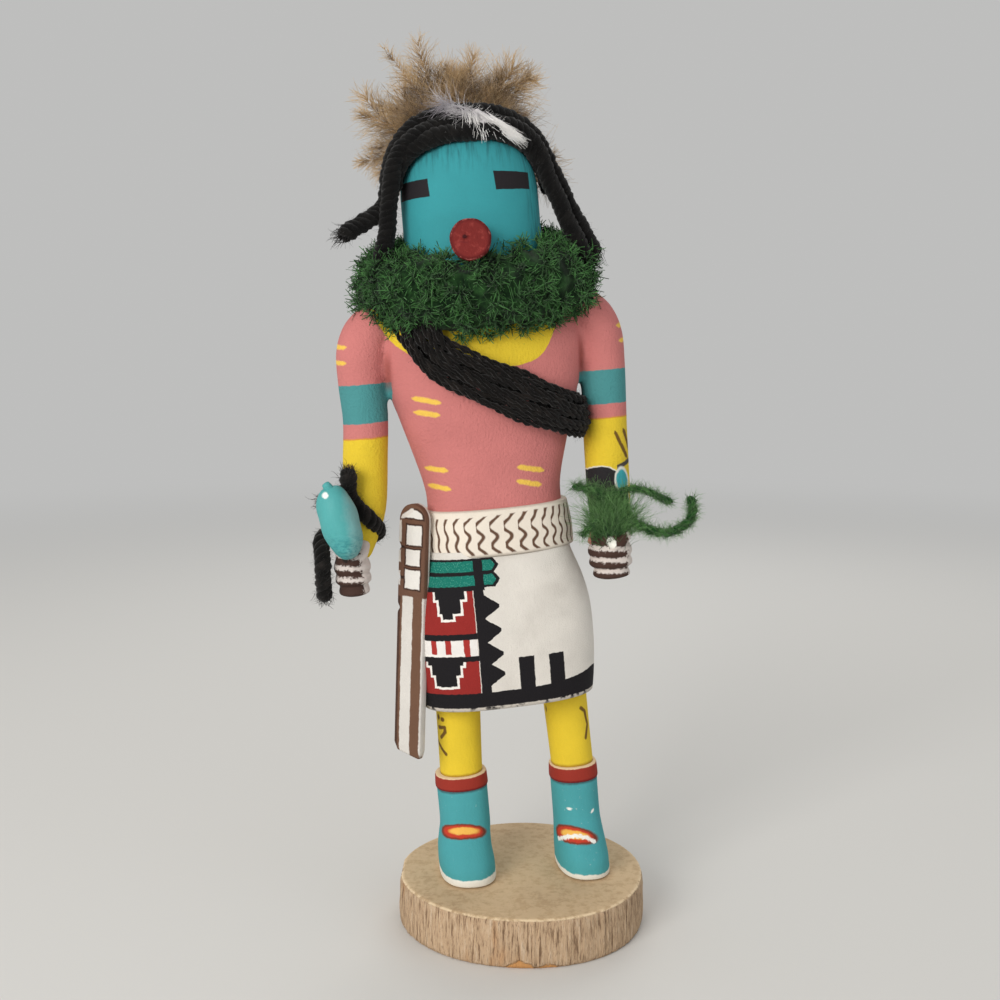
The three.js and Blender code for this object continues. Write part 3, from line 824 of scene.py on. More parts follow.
def make_mask():
    start, top = 182.6, 199.0
    stations = [
        [150, 12, 9.5],
        [158, 16, 13],
        [168, 18, 15],
        [175, 18.05, 15.05],
        [start, 18, 15],
    ]
    for height in (0.15, 0.3, 0.43, 0.55, 0.66, 0.76, 0.84, 0.91, 0.96, 0.99):
        share = (1 - height ** 2.5) ** (1 / 2.5)
        stations.append([start + (top - start) * height, 18 * share, 15 * share])
    mask = column(stations, sides=128, steps=4, power=2.15)
    mask.turned(HEAD_TURN)
    paint = Paint("painted_mask", (55, 140, 147))
    _, x, z = wrapped(paint, 0.12, 0.5)
    shadow = ramp(paint.noise(paint.vector(x * 1.1, 0.0, z * 0.14), 0.9, 3.0), 0.42, 0.66)
    near_hair = ramp(z, 186, 196) + ramp(x, 14.5, 18.5) * 0.8
    paint.cover((40, 84, 90), shadow * near_hair * 0.6)
    left = eye(x, z, (-22.0, 187.7), (-10.3, 187.7), (-10.0, 183.2), (-22.6, 183.2))
    right = eye(x, z, (6.8, 188.1), (17.9, 187.7), (17.8, 183.5), (7.2, 183.4))
    eyes = low(left, right)
    paint.cover((38, 35, 38), inside(eyes, 0.15))
    aged(paint, 0.035, 0.03, 2.2, (0.5, 0.5, 1.4))
    show("mask", mask, paint.done(), ["carved_figure"])


def eye(x, z, a, b, c, d):
    """Distance outside a four-sided patch given clockwise from its top left corner."""
    worst = None
    for (x0, z0), (x1, z1) in ((a, b), (b, c), (c, d), (d, a)):
        length = math.hypot(x1 - x0, z1 - z0)
        nx = -(z1 - z0) / length
        nz = (x1 - x0) / length
        side = (x - x0) * nx + (z - z0) * nz
        worst = side if worst is None else high(worst, side)
    return worst


def leg_stations(which):
    x = LEGS_AT[which]
    shaft = BOOT_HALF[which]
    toe = x - 0.9 * (1 - which)
    bottom, top = (z - CUFF_DROP * which for z in CUFF)
    calf = [
        [bottom, 5.8, 5.9, x, 1],
        [37, 5.9, 6, x * 0.97, 1],
        [HEM + 4, 6.2, 6.3, x * 0.93, 1],
    ]
    cuff = [
        [bottom, shaft + 0.05, 7.1, x, 1.1],
        [bottom + 0.3, shaft + 0.35, 7.4, x, 1.1],
        [(bottom + top) / 2, shaft + 0.3, 7.35, x, 1.1],
        [top - 0.4, shaft + 0.15, 7.15, x, 1.1],
        [top, shaft - 0.25, 6.75, x, 1.1],
    ]
    boot = [
        [0, shaft + 0.45, 11.2, toe, -2.3],
        [0.3, shaft + 0.7, 11.7, toe, -2.3],
        [1.5, shaft + 0.75, 11.85, toe, -2.3],
        [2.3, shaft + 0.7, 11.75, toe, -2.25],
        [4.5, shaft + 0.7, 11.4, toe, -2],
        [8, shaft + 0.4, 10.2, toe, -1],
        [11.5, shaft + 0.1, 8.7, (toe + x) / 2, 0.2],
        [15, shaft, 7.6, x, 1],
        [bottom + 0.3, shaft, 7.1, x, 1.1],
    ]
    return calf, cuff, boot


def make_legs():
    for which, name in ((0, "right"), (1, "left")):
        calf, cuff, boot = leg_stations(which)
        leg = joined([
            column(calf, 64, 8, 2.2, 0),
            column(cuff, 72, 4, 2.2, 1),
            column(boot, 88, 5, 2.4, 2),
        ])
        paints = [paint_calf(which, name), paint_cuff(which, name), paint_boot(which, name)]
        show(f"{name}_leg", leg, paints, ["carved_figure"])


def paint_calf(which, name):
    paint = Paint(f"painted_{name}_calf", YELLOW)
    _, x, z = wrapped(paint, 0.2, 0.6)
    if which == 0:
        lines = [
            [(-7.6, 42.8), (-4.9, 43.1), (-4.8, 41.8), (-6.5, 40.1)],
            [(-9.3, 38.4), (-7.1, 37.4), (-4.9, 35.6)],
        ]
        marks = low(spot(x, z, (-7.5, 45.7), (0.8, 0.8)), spot(x, z, (-5.6, 45.3), (0.8, 0.7)))
    else:
        lines = [[(3.3, 44.1), (4.6, 43.0), (5.0, 41.1), (5.4, 38.8), (4.6, 37.0), (4.0, 35.4)]]
        marks = spot(x, z, (-8.0, 44.0), (0.4, 0.9))
    for points in lines:
        marks = low(marks, brushed(x, z, points, 0.52))
    paint.cover((112, 84, 40), inside(marks, 0.3))
    bottom = CUFF[1] - CUFF_DROP * which
    # painted shade in the corner just above the cuff
    paint.cover((150, 110, 40), ramp(z, bottom + 1.0, bottom + 0.1) * 0.8)
    paint.cover((226, 214, 150), ramp(z, HEM - 1.5, HEM + 0.2) * 0.4)
    aged(paint, 0.06, 0.05, 2.2)
    return paint.done()


def paint_cuff(which, name):
    paint = Paint(f"painted_{name}_cuff", (146, 52, 42))
    _, _, z = wrapped(paint, 0.15, 0.8)
    bottom, top = (h - CUFF_DROP * which for h in CUFF)
    paint.cover((222, 196, 160), ramp(z, top - 0.45, top - 0.15))
    # painted shade on the cuff's lower edge, where it stands out over the boot
    paint.cover((110, 34, 36), ramp(z, bottom + 0.9, bottom + 0.3))
    aged(paint, 0.05, 0.05)
    return paint.done()


def paint_boot(which, name):
    paint = Paint(f"painted_{name}_boot", (73, 152, 158))
    figure, x, z = wrapped(paint, 0.3, 0.5)
    sole = z - (2.2, 1.5)[which] - (paint.noise(figure, 0.35, 2.0) - 0.5) * 1.4
    paint.cover((226, 224, 214), inside(sole, 0.3))
    middle, half = (((-2.1, 13.9), (7.4, 1.9)), ((-4.0, 10.6), (7.5, 1.95)))[which]
    droop = (x - middle[0]) * (x - middle[0]) * 0.02
    oval = spot(x, z + droop, middle, half)
    paint.cover((112, 58, 44), inside(oval - 0.1, 0.3))
    paint.cover((186, 62, 44), inside(oval + 0.3, 0.3))
    heart = spot(x, z + droop, (middle[0] + 0.6, middle[1] + 0.1), (4.3, 0.95))
    paint.cover((232, 178, 84), inside(heart, 0.35))
    if which == 1:
        loss = [(-10.6, 8.2), (-5.9, 9.7), (-2.8, 10.5), (0.2, 10.1), (2.4, 9.0)]
        arc = brushed(x, z, loss, 0.42)
        ragged = (paint.noise(figure, 1.4, 3.0) - 0.5) * 1.0
        fleck = spot(x, z, (-3.2, 16.9), (0.75, 0.32)) + ragged * 0.4
        nick = stroke(x, z, (3.0, 15.3), (3.9, 16.2), 0.3) + ragged * 0.3
        for bare in (arc + ragged, fleck, nick):
            paint.cover((232, 232, 226), inside(bare, 0.3))
    bottom = CUFF[0] - CUFF_DROP * which
    # painted shade on the boot just under the cuff's overhang
    paint.cover((60, 84, 88), ramp(z, bottom - 0.9, bottom - 0.1) * 0.8)
    worn = ramp(paint.noise(figure, 0.9, 3.0, 0.7), 0.66, 0.74)
    paint.cover((190, 206, 200), worn * 0.35)
    aged(paint, 0.05, 0.05, 2.4)
    return paint.done()


def limb_stations(side, hand, half):
    hand_x, hand_y, hand_z = hand
    x = side * ARM_SPREAD
    wrist = hand_z + 12.5
    return [
        [wrist - 3, half * 0.86, 4.9, hand_x * 0.98, hand_y * 0.8],
        [wrist + 3, 5.3, 5.2, x + (hand_x - x) * 0.6, hand_y * 0.55],
        [wrist + 10, 5.9, 5.8, x + (hand_x - x) * 0.34, hand_y * 0.22],
        [118, 6, 6, x + (hand_x - x) * 0.14, 0],
        [128, 6, 6.3, x, 0.4],
        [137, 6.3, 6.9, x, 0.6],
        [146, 7.2, 7.6, x * 0.965, 0.6],
        [152.5, 7.4, 7.2, x * 0.885, 0.5],
        [156.6, 5, 5.2, x * 0.835, 0.4],
        [158.4, 1.6, 1.8, x * 0.82, 0.4],
    ]


def remeshed(shapes, size, rounds):
    """Overlapping closed shapes made one skin, `size` millimetres a face, with softened junctions."""
    whole = joined(shapes)
    mesh = bpy.data.meshes.new("rough")
    mesh.from_pydata(whole.points.tolist(), [], [f.tolist() for faces in whole.faces for f in faces])
    rough = bpy.data.objects.new("rough", mesh)
    bpy.context.scene.collection.objects.link(rough)
    remesh = rough.modifiers.new("remesh", "REMESH")
    remesh.mode = "VOXEL"
    remesh.voxel_size = size
    soften = rough.modifiers.new("soften", "SMOOTH")
    soften.factor = 0.5
    soften.iterations = rounds
    evaluated = rough.evaluated_get(bpy.context.evaluated_depsgraph_get())
    made = evaluated.to_mesh()
    points = np.empty(len(made.vertices) * 3)
    made.vertices.foreach_get("co", points)
    faces = [tuple(p.vertices) for p in made.polygons]
    evaluated.to_mesh_clear()
    bpy.data.objects.remove(rough)
    quads = [f for f in faces if len(f) == 4]
    triangles = [f for f in faces if len(f) == 3]
    return Shape(points.reshape(-1, 3), [quads, triangles])


def make_torso():
    torso = [
        [88, 18.6, 12.6],
        [103, 18.1, 12.1],
        [109, 18.5, 12.2],
        [118, 20.8, 13],
        [127, 23.4, 13.8],
        [137, 26.1, 14.2],
        [147, 27, 13.4],
        [155, 23, 11.4],
        [159.5, 15, 8.5],
    ]
    arms = [limb_stations(-1, RATTLE_HAND, 4.9), limb_stations(1, SPRIG_HAND, 6)]
    parts = [column(torso, 96, 6, 2.3)] + [column(a, 64, 6, 2.0) for a in arms]
    body = remeshed(parts, 0.8, 4)
    paint = Paint("painted_torso", PINK)
    figure, (fx, fy, fz) = paint.place()
    x, z = wobbly(paint, fx, fz, figure, 0.3, 0.45)
    # yoke round the neck
    right = high(x - 8.0, 0.0)
    left = high(-x - 18.0, 0.0)
    rise = (x - 2.0) * (x - 2.0) * 0.0105 + right * right * right * 0.0062 + left * left * left * 0.006
    yoke_mask = rise + 139.0 - z
    paint.cover((176, 96, 74), inside(yoke_mask - 0.15, 0.3) * 0.35)
    paint.cover(YELLOW, inside(yoke_mask, 0.25))
    # pairs of dashes on the chest, the waist and the back of the arms
    front = ramp(fy, 0.5, -0.5)
    dashes = None
    for start, end in (
        ((-20.5, 133.0), (-13.5, 131.2)), ((-20.3, 129.4), (-13.9, 128.0)),
        ((-18.4, 114.5), (-12.9, 113.4)), ((-17.9, 109.8), (-12.5, 108.4)),
        ((5.0, 113.0), (12.4, 111.2)), ((4.6, 109.3), (11.5, 107.4)),
    ):
        dash = stroke(x, z, start, end, 0.66)
        dashes = dash if dashes is None else low(dashes, dash)
    paint.cover((232, 190, 84), inside(dashes, 0.4) * front)
    for side in (-1.0, 1.0):
        outer = ramp(x * side, 31.0, 33.0)
        upper = stroke(fy, z, (-5.0, 147.2), (1.5, 147.8), 0.55)
        marks = low(upper, stroke(fy, z, (-5.0, 143.2), (1.5, 143.8), 0.55))
        paint.cover((232, 190, 84), inside(marks, 0.4) * outer)
    # the banded arms
    for side, band_low, band_top, pink_low in ((-1.0, 127.3, 137.4, 123.5), (1.0, 126.8, 135.9, 123.2)):
        arm = ramp(x * side, 24.9, 25.1) * ramp(fz, 141.0, 139.0)
        paint.cover(TURQUOISE, inside(within(z, band_low, band_top), 0.25) * arm)
        paint.cover((206, 140, 60), inside(z - pink_low, 0.3) * arm)
        paint.cover(YELLOW, inside(z - pink_low + 0.35, 0.3) * arm)
    # slanting strokes on the forearms
    strokes = stroke(x, z, (33.2, 119.5), (36.6, 111.5), 0.5)
    for start, end, half in (
        ((35.9, 119.8), (38.2, 112.5), 0.5),
        ((-38.2, 117.2), (-38.6, 113.4), 0.32),
        ((-37.2, 117.0), (-37.5, 113.6), 0.32),
    ):
        strokes = low(strokes, stroke(x, z, start, end, half))
    paint.cover((112, 84, 40), inside(strokes, 0.3) * front)
    # bow guard with its turquoise stone
    guard = spot(x, z, (28.6, 101.5), (7.2, 8.6))
    arm = ramp(x, 24.0, 24.2) * front
    paint.cover((226, 224, 214), inside(guard - 0.25, 0.3) * arm)
    strap = high(within(z - x * 0.35, 97.3, 98.6), 33.0 - x)
    paint.cover((74, 70, 66), inside(strap, 0.3) * arm)
    paint.cover((44, 42, 44), inside(guard, 0.2) * arm)
    stone = spot(x, z, (34.2, 105.9), (1.7, 3.0))
    paint.cover((222, 222, 214), inside(stone - 0.5, 0.3) * arm)
    paint.cover((64, 158, 168), inside(stone, 0.3) * arm)
    # painted shade in the creases where the arms meet the torso
    armpit_shade = ramp(abs(abs(x) - 25.8), 1.6, 0.2) * ramp(fz, 134.0, 138.0) * ramp(fz, 147.0, 141.0)
    paint.cover((140, 74, 66), armpit_shade * 0.7)
    aged(paint, 0.17, 0.1, 1.5)
    show("torso", body, paint.done(), ["carved_figure"])


def fist_points(hand, half, thumb_side):
    hand_x, hand_y, hand_z = hand
    wrist = hand_z + 12.5
    stations = [[hand_z, half * 0.45, 2.6, hand_x, hand_y + 0.6]]
    pitch = 3.1
    for finger in range(4):
        z = hand_z + 1.5 + finger * pitch
        share = 1 - 0.11 * abs(finger - 1.6) ** 1.3
        stations.append([z - 0.6, half * share, 6.1 * share, hand_x, hand_y])
        stations.append([z + 0.6, half * share, 6.1 * share, hand_x, hand_y])
        stations.append([z + pitch / 2, half * share * 0.93, 5.5 * share, hand_x, hand_y])
    stations.append([wrist + 1.6, half * 0.5, 3, hand_x, hand_y + 1.2])
    fist = column(stations, 64, 4, 2.3)
    thumb_path = path_through([
        (hand_x + thumb_side * half * 0.75, hand_y - 1.5, wrist + 1.0),
        (hand_x + thumb_side * half * 0.5, hand_y - 4.6, wrist - 1.4),
        (hand_x - thumb_side * half * 0.1, hand_y - 5.6, wrist - 3.2),
    ], 0.5)
    return [fist, with_values(tube(thumb_path, 1.5, 14), tone=0)]


def make_hands():
    for name, hand, half, thumb in (("right", RATTLE_HAND, 4.9, 1), ("left", SPRIG_HAND, 6.0, 1)):
        fist, thumb_shape = fist_points(hand, half, thumb)
        thumb_shape.values = {}
        thumb_shape.wrap = None
        fist.wrap = None
        body = remeshed([fist, thumb_shape], 0.35, 2)
        paint = Paint(f"painted_{name}_hand", (70, 52, 46))
        figure, (fx, fy, fz) = paint.place()
        x, z = wobbly(paint, fx, fz, figure, 0.5, 0.7)
        ragged = (paint.noise(figure, 1.3, 3.0, 0.7) - 0.5) * 2.6
        white = None
        for finger in range(4):
            middle = hand[2] + 1.5 + finger * 3.1
            bar = within(z + x * 0.08, middle - 0.3, middle + 0.9) + ragged * 0.7
            white = bar if white is None else low(white, bar)
        flank = hand[0] + half * (0.62 if name == "left" else 0.45) - x
        white = low(white, high(flank + ragged * 1.6, -1.0))
        paint.cover((206, 196, 190), inside(white, 0.35))
        if name == "left":
            nail = spot(x, z, (hand[0] - 0.8, hand[2] + 10.6), (1.05, 1.5))
            paint.cover((236, 234, 226), inside(nail, 0.3) * ramp(fy, hand[1], hand[1] - 1.0))
        aged(paint, 0.08, 0.08, 2.6)
        show(f"{name}_hand", body, paint.done(), ["carved_figure"])


make_kilt()
make_belt()
make_mask()
make_legs()
make_torso()
make_hands()


# ---- the slab ----

def make_base():
    rng = np.random.default_rng(3)
    sides = 540
    angle = np.linspace(0, 2 * math.pi, sides, endpoint=False)
    wave = 0.4 * np.sin(3 * angle - 2.1) + 0.15 * np.sin(5 * angle)
    radius = np.minimum(34.0 + wave, 33.8 / np.maximum(np.abs(np.cos(angle)), 0.1))
    flutes = np.zeros(sides)
    for _ in range(26):
        flutes += np.sin(angle * rng.integers(30, 190) + rng.uniform(0, 6.3)) * 0.022
    rows = []
    for z, inset, share in (
        (0.0, 0.7, 0.2), (0.35, 0.2, 1.0), (1.2, 0.0, 1.0), (3.0, -0.05, 1.0), (5.0, -0.1, 1.0),
        (7.0, 0.0, 1.0), (9.0, 0.1, 1.0), (11.0, 0.2, 1.0), (12.2, 0.3, 0.8), (12.7, 0.45, 0.5),
        (12.95, 0.8, 0.2), (13.0, 1.4, 0.0),
    ):
        drift = flutes * (1 + 0.5 * np.sin(z * 0.9 + angle * 9)) * share
        reach = radius - inset + drift
        rows.append(np.stack([np.cos(angle) * reach, np.sin(angle) * reach, np.full(sides, z)], 1))
    for share in (0.85, 0.6, 0.3, 0.05):
        reach = (radius - 1.4) * share
        rows.append(np.stack([np.cos(angle) * reach, np.sin(angle) * reach, np.full(sides, 13.0)], 1))
    points = np.concatenate(rows)
    points = np.concatenate([points, [[0, 0, 0], [0, 0, SLAB_HEIGHT]]])
    slab = Shape(points, [grid_faces(len(rows), sides), fans(len(rows), sides)])
    paint = Paint("sanded_cottonwood", (190, 162, 127))
    figure, (x, y, z) = paint.place()
    side = ramp(z, 12.9, 12.3)
    # sanded end grain on top
    rings = paint.noise(figure, 0.5, 4.0, 0.65)
    fine = paint.noise(figure, 4.2, 3.0, 0.7)
    stain = paint.noise(figure, 0.06, 3.0, 0.55)
    paint.cover((164, 138, 108), ramp(stain, 0.42, 0.72) * 0.35)
    paint.cover((204, 176, 140), ramp(fine, 0.55, 0.75) * 0.4)
    # split, weathered side: streaks that run up and down
    tall = paint.vector(x * 1.0, y * 1.0, z * 0.09)
    streak = paint.noise(tall, 1.5, 4.0, 0.7)
    hair = paint.noise(tall, 5.0, 3.0, 0.7)
    broad = paint.noise(paint.vector(x, y, z * 0.25), 0.16, 2.0)
    paint.cover((188, 160, 130), side)
    paint.cover((206, 184, 158), side * ramp(streak, 0.52, 0.68) * 0.8)
    paint.cover((176, 128, 84), side * ramp(broad, 0.52, 0.66) * ramp(x, 8.0, -12.0) * 0.75)
    paint.cover((104, 80, 60), side * ramp(streak, 0.5, 0.34) * 0.85)
    paint.cover((92, 70, 54), side * ramp(hair, 0.46, 0.32) * 0.75)
    # painted highlight along the slab's rounded top edge
    rim_highlight = ramp(abs(z - 12.75), 0.34, 0.1)
    paint.cover((226, 202, 166), rim_highlight * ramp(rings, 0.36, 0.56))
    ragged = (rings - 0.5) * 2.0
    chip = low(z + abs(x + 1.0) * 0.5 - 2.4 + ragged, z + abs(x - 6.5) * 0.3 - 1.3 + ragged)
    chip = inside(high(chip, y), 0.5)
    paint.cover((196, 144, 92), chip)
    paint.shade(0.84 + fine * 0.22 + rings * 0.08)
    paint.raise_by((streak * 0.3 + hair * 0.16) * side + (fine - 0.5) * 0.05 - chip * 0.35)
    paint.rough(0.72 + fine * 0.2)
    show("base_slab", slab, paint.done(), ["base"], posed=False)


# ---- the slat at the hip ----

def make_sash():
    width, thickness, length = 9.0, 2.8, 67.4
    facing, splay = -45 * DEGREE, 6.6 * DEGREE
    middle = np.array([-25.6, -6.3, 71.8])
    half = width / 2
    rows = 150
    sides = 40
    level = np.linspace(-length / 2, length / 2, rows)
    left = np.full(rows, -half)
    right = np.full(rows, half)
    top = length / 2 - half
    crown = np.clip((level - top) / half, 0, 1)
    reach = half * np.sqrt(1 - np.clip(crown, 0, 0.995) ** 2)
    left = np.where(crown > 0, -reach, left)
    right = np.where(crown > 0, reach, right)
    for notch in (top - 7.1, top - 15.3, top - 23.5):
        left += 0.75 * np.exp(-((level - notch) / 0.8) ** 2)
    foot = np.clip((level + length / 2) / 2.2, 0, 1)
    left += (1 - foot) * 0.9
    right -= (1 - foot) ** 2 * 0.5
    angle = np.linspace(0, 2 * math.pi, sides, endpoint=False)
    cos, sin = np.cos(angle), np.sin(angle)
    across = np.sign(cos) * np.abs(cos) ** (2 / 7)
    deep = np.sign(sin) * np.abs(sin) ** (2 / 7)
    local = np.empty((rows, sides, 3))
    local[..., 0] = ((left + right) / 2)[:, None] + across[None] * ((right - left) / 2)[:, None]
    local[..., 1] = deep[None] * (thickness / 2) * np.clip(0.75 + foot * 0.25, 0, 1)[:, None]
    slant = 0.18 * (1 - np.clip((level + length / 2) / 6, 0, 1))
    local[..., 2] = level[:, None] - local[..., 0] * slant[:, None]
    flat = local.reshape(-1, 3)
    hubs = np.array([local[0].mean(0), local[-1].mean(0)])
    flat = np.concatenate([flat, hubs])
    faces = [grid_faces(rows, sides), fans(rows, sides)]
    slat = Shape(flat, faces, corners(flat, *faces))
    slat.turned(facing).leaned(splay)
    slat.points += middle
    paint = Paint("painted_slat", (208, 204, 198))
    figure, _ = paint.place()
    _, (a, t, l) = paint.place("wrap")
    x, z = wobbly(paint, a, l, figure, 0.35, 0.35)
    x, z = wobbly(paint, x, z, figure, 0.12, 1.3)
    front = ramp(t, 0.6, 0.2)
    brown = low(within(x, -4.7, -2.6), within(x, 1.0, 4.1))
    brown = high(brown, z - 10.5)
    paint.cover((106, 78, 62), inside(brown, 0.25) * front)
    paint.cover((74, 54, 46), inside(high(within(x, -4.3, -3.3), z - 10.0), 0.3) * front)
    head = 9.0 - z
    paint.cover((104, 76, 62), inside(head, 0.25) * front)
    patches = low(block(x, z, -1.6, 3.4, 22.8, 28.0), block(x, z, -1.7, 3.0, 17.4, 21.6))
    patches = low(patches, block(x, z, -1.9, 3.1, 11.2, 16.2))
    patches = low(patches, high(spot(x, z, (0.8, 29.6), (3.0, 2.6)), 29.9 - z))
    paint.cover((60, 42, 36), inside(abs(patches - 0.25) - 0.2, 0.3) * front)
    paint.cover((222, 219, 214), inside(patches, 0.25))
    edge = low(block(x, z, -6.0, -3.4, 23.4, 29.0), block(x, z, -6.0, -3.5, 17.9, 21.2))
    edge = low(edge, block(x, z, -6.0, -3.6, 11.8, 15.6))
    edge = low(edge, stroke(x, z, (-3.6, 29.6), (0.6, 32.4), 0.55))
    paint.cover((214, 208, 202), inside(edge, 0.3))
    # painted shade in the three notches on the slat's edge
    for cut in (25.7, 17.5, 9.7):
        notch = inside(within(z, cut - 3.9, cut - 3.2), 0.3) * ramp(x, -1.6, -2.6)
        paint.cover((52, 38, 33), notch * ramp(z, 9.0, 9.6))
    aged(paint, 0.08, 0.05, 3.0, (2.5, 2.5, 0.3))
    show("sash_slat", slat, paint.done(), ["sash"])


# ---- the snout and the rattle ----

def make_snout():
    sides = 96
    length = 12.0
    profile = [
        (length - 2, 0.0), (length - 2, 4.9), (6, 5.05), (1.0, 5.12), (0.35, 5.02), (0.08, 4.75),
        (0.0, 4.3), (0.12, 3.4), (0.16, 2.4), (0.14, 1.4), (0.14, 0.6), (0.14, 0.0),
    ]
    angle = np.linspace(0, 2 * math.pi, sides, endpoint=False)
    rings = []
    for depth, reach in profile[1:-1]:
        uneven = 1 + 0.012 * np.sin(3 * angle + 0.7) + 0.008 * np.sin(7 * angle)
        wide = reach * uneven
        rings.append(np.stack([np.cos(angle) * wide, np.full(sides, depth), np.sin(angle) * wide], 1))
    flat = np.concatenate(rings)
    flat = np.concatenate([flat, [[0, profile[0][0], 0], [0, profile[-1][0], 0]]])
    faces = [grid_faces(len(rings), sides)[:, ::-1], fans(len(rings), sides)[:, ::-1]]
    dowel = Shape(flat, faces, corners(flat, *faces))
    dowel.points[:, 1] -= 24.2
    dowel.turned(HEAD_TURN)
    dowel.points += np.array([-4 - math.sin(HEAD_TURN) * 24.2, 0, 171])
    paint = Paint("painted_snout", (112, 39, 37))
    figure, _ = paint.place()
    _, (x, y, z) = paint.place("wrap")
    blotch = paint.noise(figure, 0.8, 4.0, 0.65)
    reach = (x * x + z * z) ** 0.5
    paint.cover((160, 72, 66), ramp(blotch, 0.5, 0.7) * 0.4)
    # painted shade on the front face near its rounded rim, and a painted highlight along the rim itself
    paint.cover((84, 24, 26), ramp(reach, 3.9, 4.7) * ramp(y, 1.2, 0.2) * 0.7)
    paint.cover((206, 118, 110), ramp(abs(reach - 4.9), 0.25, 0.05) * ramp(blotch, 0.45, 0.6) * 0.6)
    # the pit's hollow is darkened with painted shade; the relief below presses it in
    pit = spot(x, z, (-1.3, 0.7), (0.55, 0.5)) + (blotch - 0.5) * 0.8
    paint.cover((62, 22, 26), inside(pit, 0.3))
    paint.cover((90, 28, 32), inside(stroke(x, z, (-2.6, -0.4), (-0.6, -0.9), 0.18), 0.3) * 0.6)
    paint.raise_by(ramp(pit, 0.6, -0.4) * -0.5 + blotch * 0.12)
    aged(paint, 0.1, 0.05, 2.2)
    show("snout_dowel", dowel, paint.done(), ["snout"])


def make_rattle():
    at = np.array([-42.0, -16.5, 103.6])
    tilt = -12 * DEGREE
    stations = []
    ends = np.linspace(0.8, 1, 6)
    for share in np.concatenate([np.linspace(-1, -0.8, 6), np.linspace(-0.7, 0.7, 10), ends]):
        h = min(abs(share), 0.9995)
        power = 2.5 if share > 0 else 2.15
        wide = 4.95 * (1 - h ** power) ** (1 / power)
        stations.append([share * 9.7, max(wide, 0.15), max(wide, 0.15)])
    head = column(stations, 72, 3, 2.0)
    x, y, z = head.points.T
    head.points[:, 0] += 0.12 * np.sin(z * 0.8 + y * 0.7)
    head.points[:, 1] += 0.1 * np.sin(z * 1.9 + x) * (z < -2)
    head.wrap = None
    nub_path = path_through([(0, -0.6, 8.4), (-0.2, -0.9, 9.6), (-0.5, -1.2, 10.6)], 0.3)
    nub = tube(nub_path, np.linspace(1.5, 1.0, len(nub_path)), 20)
    gourd = joined([head, nub])
    gourd.leaned(tilt)
    gourd.points += at
    gourd.kinds = [np.zeros(len(k), int) for k in gourd.kinds]
    fist = np.array(RATTLE_HAND) + (0, 0, 6)
    grip_path = path_through([at, at + (1, 3.4, -9), fist], 0.5)
    grip = tube(grip_path, 1.5, 24)
    grip.kinds = [np.ones(len(k), int) for k in grip.kinds]
    whole = joined([gourd, grip])
    paint = Paint("painted_gourd", (80, 158, 158))
    figure, (x, y, z) = paint.place()
    blotch = paint.noise(figure, 0.35, 3.0, 0.6)
    crinkle = paint.noise(paint.vector(x * 0.6, y * 0.6, z * 1.4), 1.3, 4.0, 0.6)
    low_end = ramp(z, 104.0, 96.0)
    # painted highlight: the gourd is paler on its side toward the body
    paint.cover((124, 168, 168), ramp(x + (blotch - 0.5) * 4.0, -41.5, -39.0) * 0.75)
    paint.cover((46, 122, 130), low_end * ramp(crinkle, 0.45, 0.6) * 0.6)
    chip = spot(x, z, (-45.0, 111.2), (0.75, 0.8)) + (blotch - 0.5) * 1.2
    paint.cover((232, 236, 232), inside(high(chip, y + 17.2), 0.4))
    paint.raise_by(crinkle * low_end * 0.35)
    aged(paint, 0.04, 0.03, 2.4)
    paint.rough(0.42 + blotch * 0.25)
    wood = Paint("dark_handle", (52, 44, 40))
    aged(wood, 0.08, 0.08, 2.4, (2.0, 2.0, 0.3))
    show("rattle_gourd", whole, [paint.done(), wood.done()], ["rattle"])


# ---- wool ----

def wool(name, dark, light, sheen=0.12):
    """Yarn and loose hairs: painted shade in the low places of a fine ply texture and toward the roots of
    the hairs, painted highlight toward their tips.
    """
    paint = Paint(name, dark, 0.92)
    figure, _ = paint.place()
    tone = paint.amount("tone")
    along = paint.amount("along")
    clump = paint.noise(figure, 0.45, 2.0)
    # painted shade toward the roots of the hairs and painted highlight toward their tips, mixed with random
    # tone
    paint.cover(light, ramp(along * 0.7 + tone * 0.35 + (clump - 0.5) * 0.9, 0.1, 1.05))
    # painted shade in the low places of the fine ply texture: where this noise raises the surface it also
    # lightens it
    ply = paint.noise(figure, 5.0, 3.0, 0.7)
    paint.shade(0.7 + ply * 0.6)
    paint.raise_by(ply * 0.12)
    paint.shader.inputs["Sheen Weight"].default_value = sheen
    paint.shader.inputs["Sheen Roughness"].default_value = 0.5
    paint.shader.inputs["Specular IOR Level"].default_value = 0.15
    return paint.done()


def fuzz(paths, reach, count, length, radius, rng, curl=0.7, lean=0.9, segments=3):
    """Loose hairs standing off strands of a given radius."""
    starts, directions = [], []
    weights = np.array([len(p) for p in paths], float)
    for path, share in zip(paths, weights / weights.sum()):
        tangents, normals, binormals = frames_along(path)
        number = int(count * share)
        at = rng.uniform(0, len(path) - 1.001, number)
        i = at.astype(int)
        part = (at - i)[:, None]
        centre = path[i] * (1 - part) + path[i + 1] * part
        turn = rng.uniform(0, 2 * math.pi, number)[:, None]
        out = normals[i] * np.cos(turn) + binormals[i] * np.sin(turn)
        starts.append(centre + out * reach * rng.uniform(0.6, 0.95, (number, 1)))
        outward = out * rng.uniform(0.3, 1.0, (number, 1))
        directions.append(outward + tangents[i] * rng.normal(size=(number, 1)) * lean)
    starts = np.concatenate(starts)
    lengths = length * rng.uniform(0.4, 1.3, len(starts))
    return fibres(starts, np.concatenate(directions), lengths, radius, rng, curl, segments)


